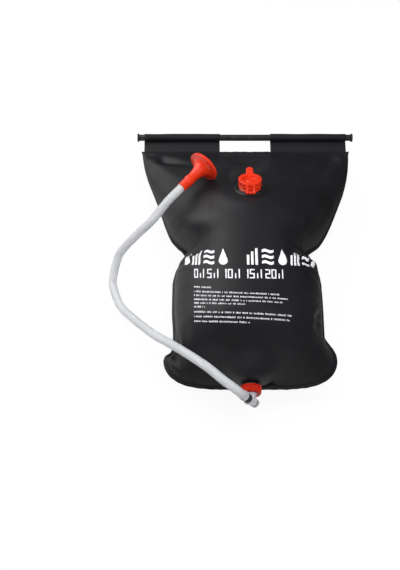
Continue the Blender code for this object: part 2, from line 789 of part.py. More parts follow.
def build_outlet_flange(place, materials):
    """Weld flange inside the film, and the threaded spigot that passes out through it."""
    bore = OUTLET_BORE / 2
    spigot = SPIGOT_DIAMETER / 2
    rim = OUTLET_FLANGE_DIAMETER / 2
    high = -FACE_GAP
    low = high - FLANGE_THICKNESS
    neck = spigot - THREAD_RELIEF
    relief = NUT_STANDOFF - THREAD_RELIEF
    tip = spigot_tip()
    profile = [(bore, low), (rim, low), (rim, high), (neck, high), (neck, relief), (spigot, relief),
               (spigot, tip - THREAD_RELIEF), (spigot - THREAD_RELIEF, tip), (bore, tip)]
    add_object("outlet_flange", turned_mesh("outlet_flange", profile), materials["black"], place)
    washer = tube_profile(SPIGOT_DIAMETER, OUTLET_BORE, tip + FACE_GAP, washer_top())
    add_object("outlet_washer", turned_mesh("outlet_washer", washer), materials["seal"], place)


def ribbed_ring(bm, radius, height, depth):
    """One ring of points round the nut, proud at its ribs."""
    points = []
    steps = NUT_RIBS * STEPS_PER_RIB
    for step in range(steps):
        angle = math.tau * step / steps
        reach = radius - depth if step % STEPS_PER_RIB == 0 else radius
        points.append(bm.verts.new((reach * math.cos(angle), reach * math.sin(angle), height)))
    return points


def build_outlet_nut(place, materials):
    """Ribbed skirt outside, bored for the spigot behind and for the tap's face in front."""
    back = NUT_DIAMETER / 2
    front = back - NUT_TAPER
    edge = NUT_RIB_DEPTH
    base = NUT_STANDOFF
    sections = [(back - edge, base, 0), (back, base + edge, 0), (back, base + 2 * edge, 0),
                (back - edge, base + 3 * edge, edge), (front, nut_front() - 2 * edge, edge),
                (front - 2 * edge, nut_front(), 0)]
    bm = bmesh.new()
    rings = [ribbed_ring(bm, *section) for section in sections]
    for lower, upper in zip(rings, rings[1:]):
        for step in range(len(lower)):
            following = (step + 1) % len(lower)
            bm.faces.new((lower[step], lower[following], upper[following], upper[step]))
    bm.faces.new(rings[0][::-1])
    bm.faces.new(rings[-1])
    nut = add_object("outlet_nut", finish_mesh("outlet_nut", bm), materials["red"], place)
    face = TAP_FACE_DIAMETER / 2 + FACE_GAP
    shoulder = nut_front() - NUT_FRONT_WALL
    profile = [(0, base - CUT_OVERRUN), (nut_inside(), base - CUT_OVERRUN), (nut_inside(), shoulder),
               (face, shoulder), (face, nut_front() + CUT_OVERRUN), (0, nut_front() + CUT_OVERRUN)]
    cut(nut, add_object("nut_bore", turned_mesh("nut_bore", profile), None, place))


def barrel_matrix():
    """The tap's barrel: its +Z runs up to the hose, its foot carries the key."""
    return Matrix.Translation((0, 0, TAP_REACH)) @ Matrix.Rotation(TAP_TURN, 4, "Z") \
        @ Matrix.Rotation(-math.pi / 2, 4, "X")


def barrel_low():
    return TAP_BARREL_SHIFT - TAP_BARREL_LENGTH / 2


def barrel_high():
    return TAP_BARREL_SHIFT + TAP_BARREL_LENGTH / 2


def build_tap_body(place, barrel, materials):
    """Flange and face held by the nut, then a short neck into the cross barrel."""
    low = washer_top() + FACE_GAP
    flange = nut_inside() - FACE_GAP
    face = TAP_FACE_DIAMETER / 2
    neck = TAP_NECK_DIAMETER / 2
    front = nut_front() + TAP_FACE_HEIGHT
    neck_end = TAP_REACH - TAP_BARREL_BORE / 3
    profile = [(0, low), (flange, low), (flange, tap_flange_top()), (face, tap_flange_top()),
               (face, nut_front()), (neck, front), (neck, neck_end), (0, neck_end)]
    tap = add_object("tap_body", turned_mesh("tap_body", profile), materials["clear"], place)
    rim = TAP_BARREL_DIAMETER / 2
    mouth = TAP_MOUTH_DIAMETER / 2
    step = barrel_high() - TAP_MOUTH_WIDTH
    section = [(0, barrel_low()), (rim, barrel_low()), (rim, step - mouth + rim), (mouth, step),
               (mouth, barrel_high()), (0, barrel_high())]
    fuse(tap, add_object("tap_barrel", turned_mesh("tap_barrel", section), None, barrel))
    bore = cylinder_mesh("tap_bore", TAP_BARREL_BORE, barrel_low() - CUT_OVERRUN, barrel_high() + CUT_OVERRUN)
    cut(tap, add_object("tap_bore", bore, None, barrel))
    way = cylinder_mesh("tap_way", TAP_WAY_DIAMETER, low - CUT_OVERRUN, neck_end)
    cut(tap, add_object("tap_way", way, None, place))


def build_tap_key(barrel, materials):
    plug = TAP_BARREL_BORE / 2 - PLUG_CLEARANCE
    rim = TAP_BARREL_DIAMETER / 2
    top = barrel_high() - BARB_SPIGOT_DEPTH
    low = barrel_low() - FACE_GAP
    profile = [(0, low - PLUG_RIM), (rim, low - PLUG_RIM), (rim, low), (plug, low), (plug, top), (0, top)]
    plug_mesh = turned_mesh("tap_plug", profile)
    tap_plug = add_object("tap_plug", plug_mesh, materials["black"], barrel)
    way = cylinder_mesh("plug_way", TAP_WAY_DIAMETER, -rim, 0)
    cut(tap_plug, add_object("plug_way", way, None, barrel, (0, 0, 0), (math.pi / 2, 0, 0)))
    hub_top = low - PLUG_RIM - FACE_GAP
    hub = cylinder_mesh("tap_key", KEY_HUB_DIAMETER, hub_top - KEY_HUB_HEIGHT, hub_top)
    key = add_object("tap_key", hub, materials["grey"], barrel)
    wing = slab_mesh("key_wing", tongue_outline(KEY_WING_WIDTH, KEY_WING_LENGTH),
                     -KEY_WING_THICKNESS / 2, KEY_WING_THICKNESS / 2)
    foot = (0, 0, hub_top - KEY_HUB_HEIGHT / 2)
    turn = (-math.pi / 2, 0, KEY_REST_TURN)
    fuse(key, add_object("key_wing", wing, None, barrel, foot, turn))


def barb_base():
    return barrel_high() + FACE_GAP


def build_barb(barrel, materials):
    low = barb_base()
    high = low + BARB_COLLAR_LENGTH
    rim = BARB_COLLAR_DIAMETER / 2
    spigot = TAP_BARREL_BORE / 2 - FACE_GAP
    bore = spigot - BARB_WALL
    bevel = BARB_WALL / 2
    foot = barrel_high() - BARB_SPIGOT_DEPTH + FACE_GAP
    profile = [(bore, foot), (spigot, foot), (spigot, low),
               (rim - bevel, low), (rim, low + bevel), (rim, high - bevel), (rim - bevel, high),
               (bore, high)]
    add_object("hose_barb", turned_mesh("hose_barb", profile), materials["black"], barrel)
    inside = HOSE_DIAMETER + 2 * FACE_GAP
    clip = tube_profile(inside + 2 * CLIP_WALL, inside, high + FACE_GAP, high + FACE_GAP + CLIP_WIDTH)
    add_object("hose_clip", turned_mesh("hose_clip", clip), materials["clear"], barrel)


def build_outlet(place, materials):
    build_outlet_flange(place, materials)
    build_outlet_nut(place, materials)
    barrel = add_place("tap_place", place.matrix_world @ barrel_matrix())
    build_tap_body(place, barrel, materials)
    build_tap_key(barrel, materials)
    build_barb(barrel, materials)
    return barrel


# Shower head

def head_matrix():
    """+Z along the head from the hose's end to the spray face."""
    return Matrix.Translation(HEAD_PLACE) @ Matrix.Rotation(HEAD_TURN, 4, "Z") \
        @ Matrix.Rotation(-HEAD_PITCH, 4, "X")


def build_sleeve(place, materials):
    end = SLEEVE_END_DIAMETER / 2
    mouth = SLEEVE_MOUTH_DIAMETER / 2
    bore = SLEEVE_BORE / 2
    spigot = SLEEVE_SPIGOT_DIAMETER / 2
    bevel = ORING_THICKNESS / 2
    tip = SLEEVE_LENGTH + SLEEVE_SPIGOT_LENGTH
    groove = SLEEVE_LENGTH + SLEEVE_SPIGOT_LENGTH / 2
    bed = spigot - ORING_THICKNESS / 2
    width = ORING_THICKNESS + 2 * FACE_GAP
    profile = [(bore, 0), (end, 0), (mouth, SLEEVE_LENGTH - bevel), (mouth - bevel, SLEEVE_LENGTH),
               (spigot, SLEEVE_LENGTH), (spigot, groove - width / 2), (bed, groove - width / 2),
               (bed, groove + width / 2), (spigot, groove + width / 2), (spigot, tip), (bore, tip)]
    add_object("head_sleeve", turned_mesh("head_sleeve", profile), materials["red"], place)
    outside = spigot + FACE_GAP / 2
    inside = bed + FACE_GAP
    half = ORING_THICKNESS / 2
    ring = [(inside, groove - half), (outside, groove - half), (outside, groove + half),
            (inside, groove + half)]
    add_object("head_oring", turned_mesh("head_oring", ring), materials["seal"], place)


def bell_sections():
    """Outer radius and height along the bell: straight neck, then a trumpet flare out to the rim."""
    neck = BELL_NECK_DIAMETER / 2
    spread = BELL_DIAMETER / 2 - neck
    flare_end = BELL_LENGTH - BELL_RIM_HEIGHT
    sections = []
    for step in range(BELL_STEPS + 1):
        share = step / BELL_STEPS
        opening = (1 - math.sqrt(1 - share**2)) ** BELL_FLARE_POWER
        sections.append((neck + spread * opening, flare_end * share))
    return sections


def build_bell(place, materials):
    base = SLEEVE_LENGTH + FACE_GAP
    neck_bore = SLEEVE_SPIGOT_DIAMETER / 2 + 2 * FACE_GAP
    rim = BELL_DIAMETER / 2
    seat = rim - BELL_RIM_WIDTH
    top = base + BELL_LENGTH
    half = BELL_RIM_HEIGHT / 4
    outside = [(radius, base + height) for radius, height in bell_sections()]
    outside += [(rim, top - half), (rim - half, top)]
    seat_low = top - PLATE_SEAT_DEPTH - PLATE_THICKNESS
    inside = [(seat, top), (seat, seat_low), (seat - BELL_WALL, seat_low)]
    floor = base + SLEEVE_SPIGOT_LENGTH + FACE_GAP
    throat = [(neck_bore + BELL_WALL, seat_low - BELL_WALL), (neck_bore, floor + BELL_WALL),
              (neck_bore, base)]
    profile = outside + inside + throat
    add_object("head_bell", turned_mesh("head_bell", profile), materials["red"], place)
    build_spray_plate(place, seat - FACE_GAP, seat_low + FACE_GAP, materials)


def build_spray_plate(place, radius, low, materials):
    """Dished plate with rings of spray holes."""
    high = low + PLATE_THICKNESS
    field = radius - PLATE_EDGE
    shoulder = PLATE_DISH * 3 / 4
    profile = [(0, low - PLATE_DISH), (radius / 2, low - shoulder), (field, low), (radius, low),
               (radius, high), (field, high), (radius / 2, high - shoulder), (0, high - PLATE_DISH)]
    plate = add_object("spray_plate", turned_mesh("spray_plate", profile), materials["red"], place)
    bm = bmesh.new()
    hole = SPRAY_HOLE_DIAMETER / 2
    depth = 2 * (PLATE_THICKNESS + PLATE_DISH + CUT_OVERRUN)
    pitch = (field - SPRAY_HOLE_DIAMETER) / SPRAY_RINGS
    for ring in range(1, SPRAY_RINGS + 1):
        count = ring * SPRAY_HOLES_PER_RING
        for step in range(count):
            angle = math.tau * step / count
            middle = Vector((pitch * ring * math.cos(angle), pitch * ring * math.sin(angle), low))
            bmesh.ops.create_cone(bm, cap_ends=True, segments=SPRAY_HOLE_STEPS, radius1=hole,
                                  radius2=hole, depth=depth, matrix=Matrix.Translation(middle))
    cut(plate, add_object("spray_holes", finish_mesh("spray_holes", bm), None, place))


def build_head(place, materials):
    build_sleeve(place, materials)
    build_bell(place, materials)


# Hose

HOSE_ROUTE = (
    (-0.0290, -0.2815, 0.1420), (-0.0510, -0.2685, 0.1520), (-0.0750, -0.2475, 0.1530),
    (-0.1000, -0.2255, 0.1450), (-0.1240, -0.2025, 0.1300), (-0.1480, -0.1775, 0.1080),
    (-0.1680, -0.1560, 0.0870), (-0.1910, -0.1275, 0.0630), (-0.2150, -0.0955, 0.0380),
    (-0.2380, -0.0615, 0.0170), (-0.2530, -0.0205, 0.0094), (-0.2545, 0.0015, 0.0120),
    (-0.2440, 0.0315, 0.0390), (-0.2290, 0.0405, 0.0640), (-0.2050, 0.0475, 0.0970),
    (-0.1800, 0.0555, 0.1270), (-0.1640, 0.0645, 0.1460), (-0.1490, 0.0765, 0.1620))


def spline_point(before, start, end, after, t):
    return 0.5 * (2 * start + (end - before) * t + (2 * before - 5 * start + 4 * end - after) * t**2
                  + (3 * start - before - 3 * end + after) * t**3)


def even_points(run, count):
    """Points at equal steps along a smooth curve; the run's first and last points only steer its ends."""
    fine = []
    for index in range(1, len(run) - 2):
        fine += [spline_point(*run[index - 1:index + 3], step / ROUTE_STEPS)
                 for step in range(ROUTE_STEPS)]
    fine.append(run[-2])
    lengths = [0]
    for start, end in zip(fine, fine[1:]):
        lengths.append(lengths[-1] + (end - start).length)
    spaced = []
    index = 0
    for step in range(count):
        target = lengths[-1] * step / (count - 1)
        while index < len(fine) - 2 and lengths[index + 1] < target:
            index += 1
        share = (target - lengths[index]) / (lengths[index + 1] - lengths[index])
        spaced.append(fine[index].lerp(fine[index + 1], share))
    return spaced, lengths[-1]


def build_hose(barrel, head, materials):
    tap_axis = barrel.matrix_world.to_3x3() @ Vector((0, 0, 1))
    start = barrel.matrix_world @ Vector((0, 0, barb_base() + BARB_COLLAR_LENGTH + FACE_GAP))
    head_axis = head.matrix_world.to_3x3() @ Vector((0, 0, 1))
    end = head.matrix_world @ Vector((0, 0, -FACE_GAP))
    run = [start, start + tap_axis * HOSE_STRAIGHT, *(Vector(point) for point in HOSE_ROUTE),
           end - head_axis * HOSE_STRAIGHT, end]
    middle, length = even_points(run, HOSE_POINTS)
    points = [start, *middle, end]
    curve = bpy.data.curves.new("hose", "CURVE")
    curve.dimensions = "3D"
    curve.bevel_depth = HOSE_DIAMETER / 2
    curve.bevel_resolution = 3
    curve.use_fill_caps = True
    spline = curve.splines.new("POLY")
    spline.points.add(len(points) - 1)
    for target, point in zip(spline.points, points):
        target.co = (*point, 1)
    add_object("hose", curve, materials["hose"])
    print("Hose length", round(length + 2 * HOSE_STRAIGHT, 4))


def build():
    for old in list(bpy.data.objects):
        bpy.data.objects.remove(old, do_unlink=True)
    materials = make_materials()
    filler = add_place("filler_place", filler_matrix())
    outlet = add_place("outlet_place", outlet_matrix())
    head = add_place("head_place", head_matrix())
    bpy.context.view_layer.update()
    build_bag(materials, filler, outlet)
    hem_object("hem_left", -1, materials)
    hem_object("hem_right", 1, materials)
    build_rod(materials)
    build_filler(filler, materials)
    barrel = build_outlet(outlet, materials)
    build_head(head, materials)
    bpy.context.view_layer.update()
    build_hose(barrel, head, materials)


build()
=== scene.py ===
import json
import math
import random

import bmesh
import bpy
import numpy as np
from bpy.props import FloatProperty, FloatVectorProperty, IntProperty, PointerProperty
from mathutils import Matrix, Vector, noise


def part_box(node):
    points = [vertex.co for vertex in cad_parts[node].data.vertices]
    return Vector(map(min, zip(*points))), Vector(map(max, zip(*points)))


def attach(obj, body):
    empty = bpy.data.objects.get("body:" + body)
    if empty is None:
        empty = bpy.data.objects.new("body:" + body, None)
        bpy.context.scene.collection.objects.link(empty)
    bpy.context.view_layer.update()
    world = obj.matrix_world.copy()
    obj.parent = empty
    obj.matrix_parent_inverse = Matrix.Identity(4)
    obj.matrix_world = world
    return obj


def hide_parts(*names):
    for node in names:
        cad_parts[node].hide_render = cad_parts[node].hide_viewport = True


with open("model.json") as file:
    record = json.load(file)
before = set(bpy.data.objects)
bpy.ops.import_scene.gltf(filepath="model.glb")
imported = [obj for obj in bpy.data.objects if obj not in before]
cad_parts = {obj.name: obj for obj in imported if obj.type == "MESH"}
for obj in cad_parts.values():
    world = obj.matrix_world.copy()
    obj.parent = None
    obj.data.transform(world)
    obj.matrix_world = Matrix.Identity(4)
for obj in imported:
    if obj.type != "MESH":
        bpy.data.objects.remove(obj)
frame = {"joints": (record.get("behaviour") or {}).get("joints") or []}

bl_info = {
    "name": "Camp Shower Bag",
    "version": (1, 0, 0),
    "blender": (4, 5, 0),
    "location": "View3D > Sidebar > Shower Bag",
    "description": "Dresses a filled camp shower bag with its filler, tap, hose and shower head",
    "category": "Add Mesh",
}

# Places and sizes that come from the frame

JOINTS = {joint["name"]: joint for joint in frame["joints"]}
CAP_HINGE = Vector(JOINTS["cap_flip"]["pos_m"])
OUTLET_PLACE = Vector(JOINTS["nut_turn"]["pos_m"])
TAP_PLACE = Vector(JOINTS["tap_turn"]["pos_m"])
TAP_AXIS = Vector(JOINTS["tap_turn"]["axis"])
HEAD_PLACE = Vector(JOINTS["head_twist"]["pos_m"])
HEAD_AXIS = Vector(JOINTS["head_twist"]["axis"])


def node_size(node):
    """Width, depth and height of a node's box."""
    low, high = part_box(node)
    return high - low


FILM_LOW, FILM_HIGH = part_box("front_panel")
BACK_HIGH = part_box("back_panel")[1]
FOOT_Y = FILM_LOW.y
TOP_Y = BACK_HIGH.y
BAG_LENGTH = TOP_Y - FOOT_Y
HALF_WIDTH = BACK_HIGH.x
BAG_HEIGHT = FILM_HIGH.z

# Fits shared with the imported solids

FACE_GAP = 0.0003
CAD_FILM = 0.0008
FLANGE_THICKNESS = 0.0016

# Form of the filled film: share of the length from the foot, share of the half width at the top

LEFT_SIDE_SHARES = (
    (0.110, 0.757), (0.126, 0.742), (0.140, 0.695), (0.157, 0.681), (0.202, 0.676), (0.300, 0.688),
    (0.400, 0.686), (0.450, 0.664), (0.485, 0.628), (0.505, 0.586), (0.518, 0.540), (0.532, 0.582),
    (0.556, 0.648), (0.590, 0.708), (0.658, 0.770),
    (0.728, 0.820), (0.798, 0.880), (0.870, 0.940), (0.930, 0.975), (1.000, 1.000))
RIGHT_SIDE_SHARES = (
    (0.110, 0.756), (0.128, 0.752), (0.145, 0.735), (0.165, 0.705), (0.185, 0.672), (0.202, 0.658),
    (0.300, 0.660), (0.400, 0.656), (0.450, 0.638), (0.485, 0.600), (0.505, 0.556), (0.518, 0.508),
    (0.532, 0.566), (0.556, 0.644), (0.590, 0.702),
    (0.658, 0.782), (0.728, 0.850), (0.798, 0.915), (0.870, 0.962), (0.930, 0.986), (1.000, 1.000))
BELLY_SHARES = ((0.300, 0.670), (0.600, 0.720))
LOWER_ROW_SHARE = 0.58
MITER_LIMIT = 0.75
WAIST_SHARE = 0.518
SEAM_HEIGHT = 0.080
SEAM_DROOP = 0.012
WELD_WIDTH = 0.0055
FOOT_CORNER_RISE = 0.0562
FOOT_SQUARENESS = 4.5
FOOT_ROUNDING = 0.100
TOP_TAPER = 0.240
GROUND_OVERFILL = 1.45
SIDE_FULLNESS = 0.85
NOTCH_SPREAD = 3
END_SPREAD = 3
FRONT_PINCHES = (0.30, 0.45)
FRONT_PINCH_X = 0.104
FRONT_PINCH_Y = -0.016
BACK_PINCHES = (0.60, 0.85)
BACK_PINCH_X = 0.128
BACK_PINCH_Y = 0.024
PINCH_REACH = 0.030
PINCH_WIDTH = 0.024
OUTLET_FLAT = 0.006
OUTLET_BLEND = 0.040
FILLER_FLAT = 0.002
FILLER_BLEND = 0.044
LIP_REACH = 0.0115
LIP_SPREAD = 0.042
LIP_FROM_WELD = 0.012
ROW_CROWDING = 1.25
WAIST_Y = FOOT_Y + BAG_LENGTH * WAIST_SHARE
FOOT_CORNER_Y = FOOT_Y + FOOT_CORNER_RISE

# Filler, outlet and head, as they stand in the frame

FILLER_TILT = math.radians(-28)
FILLER_BORE = 0.030
FILLER_NECK = 0.036
FILLER_NECK_DEPTH = 0.007
FILLER_FLANGE = 0.057
COLLAR_DIAMETER = 0.0405
COLLAR_HEIGHT = 0.0064
SEAL_WIDTH = 0.0032
SEAL_DEPTH = 0.0014
CAP_DIAMETER = node_size("filler_cap").x
CAP_HEIGHT = 0.0118
KNUCKLE_DIAMETER = 0.0062
KNUCKLE_WIDTH = 0.0066
HINGE_ARM_WIDTH = 0.0052
HINGE_STANDOFF = 0.0036
HINGE_REACH = CAP_DIAMETER / 2 + HINGE_STANDOFF
PIN_DIAMETER = node_size("filler_pin").y
OUTLET_FLANGE = node_size("outlet_flange").x
OUTLET_BORE = 0.019
SPIGOT_DIAMETER = 0.0262
NUT_DIAMETER = node_size("outlet_nut").x
NUT_HEIGHT = node_size("outlet_nut").y
NUT_STANDOFF = OUTLET_PLACE.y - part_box("outlet_nut")[1].y
NUT_FRONT_WALL = 0.0030
TAP_REACH = OUTLET_PLACE.y - TAP_PLACE.y
TAP_TURN = math.radians(30)
TAP_BARREL = 0.0165
TAP_BARREL_BORE = 0.0105
TAP_BARREL_LENGTH = 0.0170
TAP_BARREL_SHIFT = 0.0010
TAP_MOUTH = 0.0200
TAP_MOUTH_WIDTH = 0.0026
KEY_REST_TURN = math.radians(43)
BARB_COLLAR = 0.0162
BARB_COLLAR_LENGTH = 0.0135
BARB_SPIGOT_DEPTH = 0.0030
HOSE_DIAMETER = 0.0156
HOSE_WALL = 0.0024
HOSE_STRAIGHT = 0.012
HEAD_TURN = math.radians(-41)
HEAD_PITCH = math.radians(91)
SLEEVE_LENGTH = 0.0245
BELL_DIAMETER = 0.0600
BELL_LENGTH = 0.0415

# Steps round a turned piece, and along a rounded corner

TURN_STEPS = 96
CORNER_STEPS = 4
EDGE_SHARE = 0.45
BEVEL_STEPS = 3
TONGUE_STEPS = 20
SMOOTH_ANGLE = math.radians(40)
MERGE_DISTANCE = 0.000002


def filler_matrix():
    """+Z out of the filler; the hinge joint's place fixes it."""
    hinge = Vector((0, -HINGE_REACH, hinge_height()))
    turn = Matrix.Rotation(FILLER_TILT, 4, "X")
    return Matrix.Translation(CAP_HINGE - turn @ hinge) @ turn


def outlet_matrix():
    """+Z out of the outlet, towards the foot."""
    return Matrix.Translation(OUTLET_PLACE) @ Matrix.Rotation(math.pi / 2, 4, "X")


def barrel_matrix():
    """+Z along the tap's barrel, up to the hose."""
    reach = Matrix.Translation((0, 0, TAP_REACH))
    turn = Matrix.Rotation(TAP_TURN, 4, "Z") @ Matrix.Rotation(-math.pi / 2, 4, "X")
    return outlet_matrix() @ reach @ turn


def barrel_low():
    return TAP_BARREL_SHIFT - TAP_BARREL_LENGTH / 2


def barrel_high():
    return TAP_BARREL_SHIFT + TAP_BARREL_LENGTH / 2


def head_matrix():
    """+Z along the shower head, from the hose's end to the spray face."""
    turn = Matrix.Rotation(HEAD_TURN, 4, "Z") @ Matrix.Rotation(-HEAD_PITCH, 4, "X")
    return Matrix.Translation(HEAD_PLACE) @ turn


def collar_base():
    return CAD_FILM + 2 * FACE_GAP + FLANGE_THICKNESS


def collar_top():
    return collar_base() + COLLAR_HEIGHT


def hinge_height():
    return collar_base() + KNUCKLE_DIAMETER / 2


# Settings that a user may change


def colour_property(name, description, default):
    return FloatVectorProperty(name=name, description=description, subtype="COLOR", size=3, min=0, max=1,
                               default=default)


class FilmSettings(bpy.types.PropertyGroup):
    colour: colour_property("Film Colour", "Colour of the black film", (0.0085, 0.0085, 0.0100))
    print_colour: colour_property("Print Colour", "Colour of the printed marks", (0.78, 0.79, 0.82))
    thickness: FloatProperty(name="Film Thickness", description="Thickness of one film", unit="LENGTH",
                             default=0.0006, min=0.0001, max=0.002)
    pucker: FloatProperty(name="Weld Puckers", description="Height of the small folds beside the weld",
                          unit="LENGTH", default=0.0011, min=0, max=0.005)
    crease: FloatProperty(name="Creases", description="Depth of the creases at the waist and the wings",
                          unit="LENGTH", default=0.0065, min=0, max=0.02)
    columns: IntProperty(name="Columns", description="Faces across one film", default=112, min=40, max=200)
    rows: IntProperty(name="Rows", description="Faces along one film", default=136, min=40, max=240)


class FittingSettings(bpy.types.PropertyGroup):
    red: colour_property("Red Plastic", "Colour of the cap and shower head", (0.61, 0.026, 0.005))
    pink: colour_property("Pink Plastic", "Colour of the spray plate", (0.66, 0.085, 0.075))
    # Painted shade: a darker copy of the red plastic for the union nut, which is of the same red as the cap
    deep_red: colour_property("Nut Red With Painted Shade", "Colour of the union nut", (0.37, 0.011, 0.002))
    black: colour_property("Black Plastic", "Colour of the flanges, plug and barb", (0.012, 0.012, 0.013))
    clear: colour_property("Clear Plastic", "Colour of the tap and the hose clip", (0.70, 0.69, 0.73))
    grey: colour_property("Grey Plastic", "Colour of the tap's key", (0.46, 0.46, 0.47))
    seal: colour_property("Seal Rubber", "Colour of the seals", (0.60, 0.60, 0.58))


class HoseSettings(bpy.types.PropertyGroup):
    colour: colour_property("Hose Colour", "Colour of the milky hose", (0.76, 0.77, 0.79))
    points: IntProperty(name="Points", description="Rings along the hose", default=150, min=40, max=400)


class StageSettings(bpy.types.PropertyGroup):
    elevation: FloatProperty(name="Elevation", description="Camera's height over the surface",
                             subtype="ANGLE", default=math.radians(62), min=0, max=math.pi / 2)
    distance: FloatProperty(name="Distance", description="Camera's distance from its target",
                            unit="LENGTH", default=2.0, min=0.5, max=10)
    lens_pixels: FloatProperty(name="Lens", description="Focal length in pixels of the 400 wide picture",
                               default=1093, min=200, max=4000)
    target: FloatVectorProperty(name="Target", description="Point that the camera looks at", size=3,
                                subtype="TRANSLATION", unit="LENGTH", default=(-0.089, -0.0505, 0.080))
    key_power: FloatProperty(name="Key Light", description="Power of the upper left light", unit="POWER",
                             default=24, min=0, max=500)
    fill_power: FloatProperty(name="Fill Light", description="Power of the overhead light", unit="POWER",
                              default=30, min=0, max=500)
    world_strength: FloatProperty(name="Surroundings", description="Strength of the surrounding light",
                                  default=0.30, min=0, max=2)


# Camera, light and floor; a gloss sees the floor darken along FLOOR_DARK_WAY

IMAGE_WIDTH = 400
SENSOR_WIDTH = 36.0
FLOOR_SIZE = 6.0
FLOOR_COLOUR = (0.90, 0.90, 0.90, 1)
WHITE = (1, 1, 1, 1)
FLOOR_NEAR = 0.35
FLOOR_FAR = 1.10
FLOOR_WHITE_SHARE = 0.93
FLOOR_BRIGHT_GLOSS = 1.0
FLOOR_DARK_GLOSS = 0.02
FLOOR_DARK_WAY = (1.0, 0.7, 0)
FLOOR_GLOSS_REACH = 0.45
SKY_LOW = 0.10
SKY_HIGH = 0.80
SKY_LOW_SHARE = 0.15
KEY_PLACE = (-1.10, 0.80, 0.98)
KEY_SIZE = 1.8
FILL_PLACE = (0.25, -0.35, 1.65)
FILL_SIZE = 1.4


def feed(tree, socket, value):
    """Link a value that comes from another node, or set a plain one on the socket."""
    if isinstance(value, bpy.types.NodeSocket):
        tree.links.new(value, socket)
    else:
        socket.default_value = value


def calculated(tree, operation, first, second):
    made = tree.nodes.new("ShaderNodeMath")
    made.operation = operation
    feed(tree, made.inputs[0], first)
    feed(tree, made.inputs[1], second)
    return made.outputs[0]


def ranged(tree, value, low, high, to_low, to_high):
    """A value's range from low to high laid on the range from to_low to to_high."""
    made = tree.nodes.new("ShaderNodeMapRange")
    numbers = {"Value": value, "From Min": low, "From Max": high, "To Min": to_low, "To Max": to_high}
    for name, number in numbers.items():
        feed(tree, made.inputs[name], number)
    return made.outputs[0]


def aim(lamp, target):
    lamp.rotation_euler = (Vector(target) - lamp.location).to_track_quat("-Z", "Y").to_euler()


def add_lamp(name, place, size, power, target, seen_in_gloss=True):
    light = bpy.data.lights.new(name, "AREA")
    light.shape = "DISK"
    light.size = size
    light.energy = power
    lamp = bpy.data.objects.new(name, light)
    bpy.context.scene.collection.objects.link(lamp)
    lamp.location = place
    lamp.visible_glossy = seen_in_gloss
    aim(lamp, target)
    return lamp


def seen_rays(tree):
    """1 where the camera, a gloss or a clear piece looks straight at the floor, and the glow seen there.

    A gloss sees the floor bright on the left and before the foot of the bag, and dark on its right.
    """
    path = tree.nodes.new("ShaderNodeLightPath").outputs
    coords = tree.nodes.new("ShaderNodeTexCoord")
    way = tree.nodes.new("ShaderNodeVectorMath")
    way.operation = "DOT_PRODUCT"
    way.inputs[1].default_value = FLOOR_DARK_WAY
    tree.links.new(coords.outputs["Object"], way.inputs[0])
    gloss = ranged(tree, way.outputs["Value"], -FLOOR_GLOSS_REACH, FLOOR_GLOSS_REACH,
                   FLOOR_BRIGHT_GLOSS, FLOOR_DARK_GLOSS)
    glow = ranged(tree, path["Is Glossy Ray"], 0, 1, 1, gloss)
    seen = calculated(tree, "MAXIMUM", path["Is Camera Ray"], path["Is Glossy Ray"])
    return calculated(tree, "MAXIMUM", seen, path["Is Transmission Ray"]), glow


def white_share(tree):
    """How white the floor is looked at: nearly so beside the bag, wholly so far from it."""
    coords = tree.nodes.new("ShaderNodeTexCoord")
    distance = tree.nodes.new("ShaderNodeVectorMath")
    distance.operation = "LENGTH"
    tree.links.new(coords.outputs["Object"], distance.inputs[0])
    return ranged(tree, distance.outputs["Value"], FLOOR_NEAR, FLOOR_FAR, FLOOR_WHITE_SHARE, 1)


def floor_material():
    """Pale matt floor that keeps a soft shadow and reads as white."""
    material = bpy.data.materials.new("pale_floor")
    material.use_nodes = True
    tree = material.node_tree
    tree.nodes.clear()
    diffuse = tree.nodes.new("ShaderNodeBsdfDiffuse")
    diffuse.inputs["Color"].default_value = FLOOR_COLOUR
    seen, strength = seen_rays(tree)
    glow = tree.nodes.new("ShaderNodeEmission")
    glow.inputs["Color"].default_value = WHITE
    feed(tree, glow.inputs["Strength"], strength)
    mix = tree.nodes.new("ShaderNodeMixShader")
    output = tree.nodes.new("ShaderNodeOutputMaterial")
    share = calculated(tree, "MULTIPLY", seen, white_share(tree))
    for index, value in enumerate((share, diffuse.outputs[0], glow.outputs[0])):
        tree.links.new(value, mix.inputs[index])
    tree.links.new(mix.outputs[0], output.inputs[0])
    return material


def make_floor():
    mesh = bpy.data.meshes.new("floor")
    half = FLOOR_SIZE / 2
    corners = [(-half, -half, 0), (half, -half, 0), (half, half, 0), (-half, half, 0)]
    mesh.from_pydata(corners, [], [range(len(corners))])
    floor = bpy.data.objects.new("floor", mesh)
    bpy.context.scene.collection.objects.link(floor)
    mesh.materials.append(floor_material())


def make_camera(settings):
    camera = bpy.data.objects.new("camera", bpy.data.cameras.new("camera"))
    bpy.context.scene.collection.objects.link(camera)
    camera.data.sensor_fit = "HORIZONTAL"
    camera.data.sensor_width = SENSOR_WIDTH
    camera.data.lens = SENSOR_WIDTH * settings.lens_pixels / IMAGE_WIDTH
    back = Vector((0, -math.cos(settings.elevation), math.sin(settings.elevation)))
    camera.location = Vector(settings.target) + back * settings.distance
    camera.rotation_euler = (math.pi / 2 - settings.elevation, 0, 0)
    bpy.context.scene.camera = camera


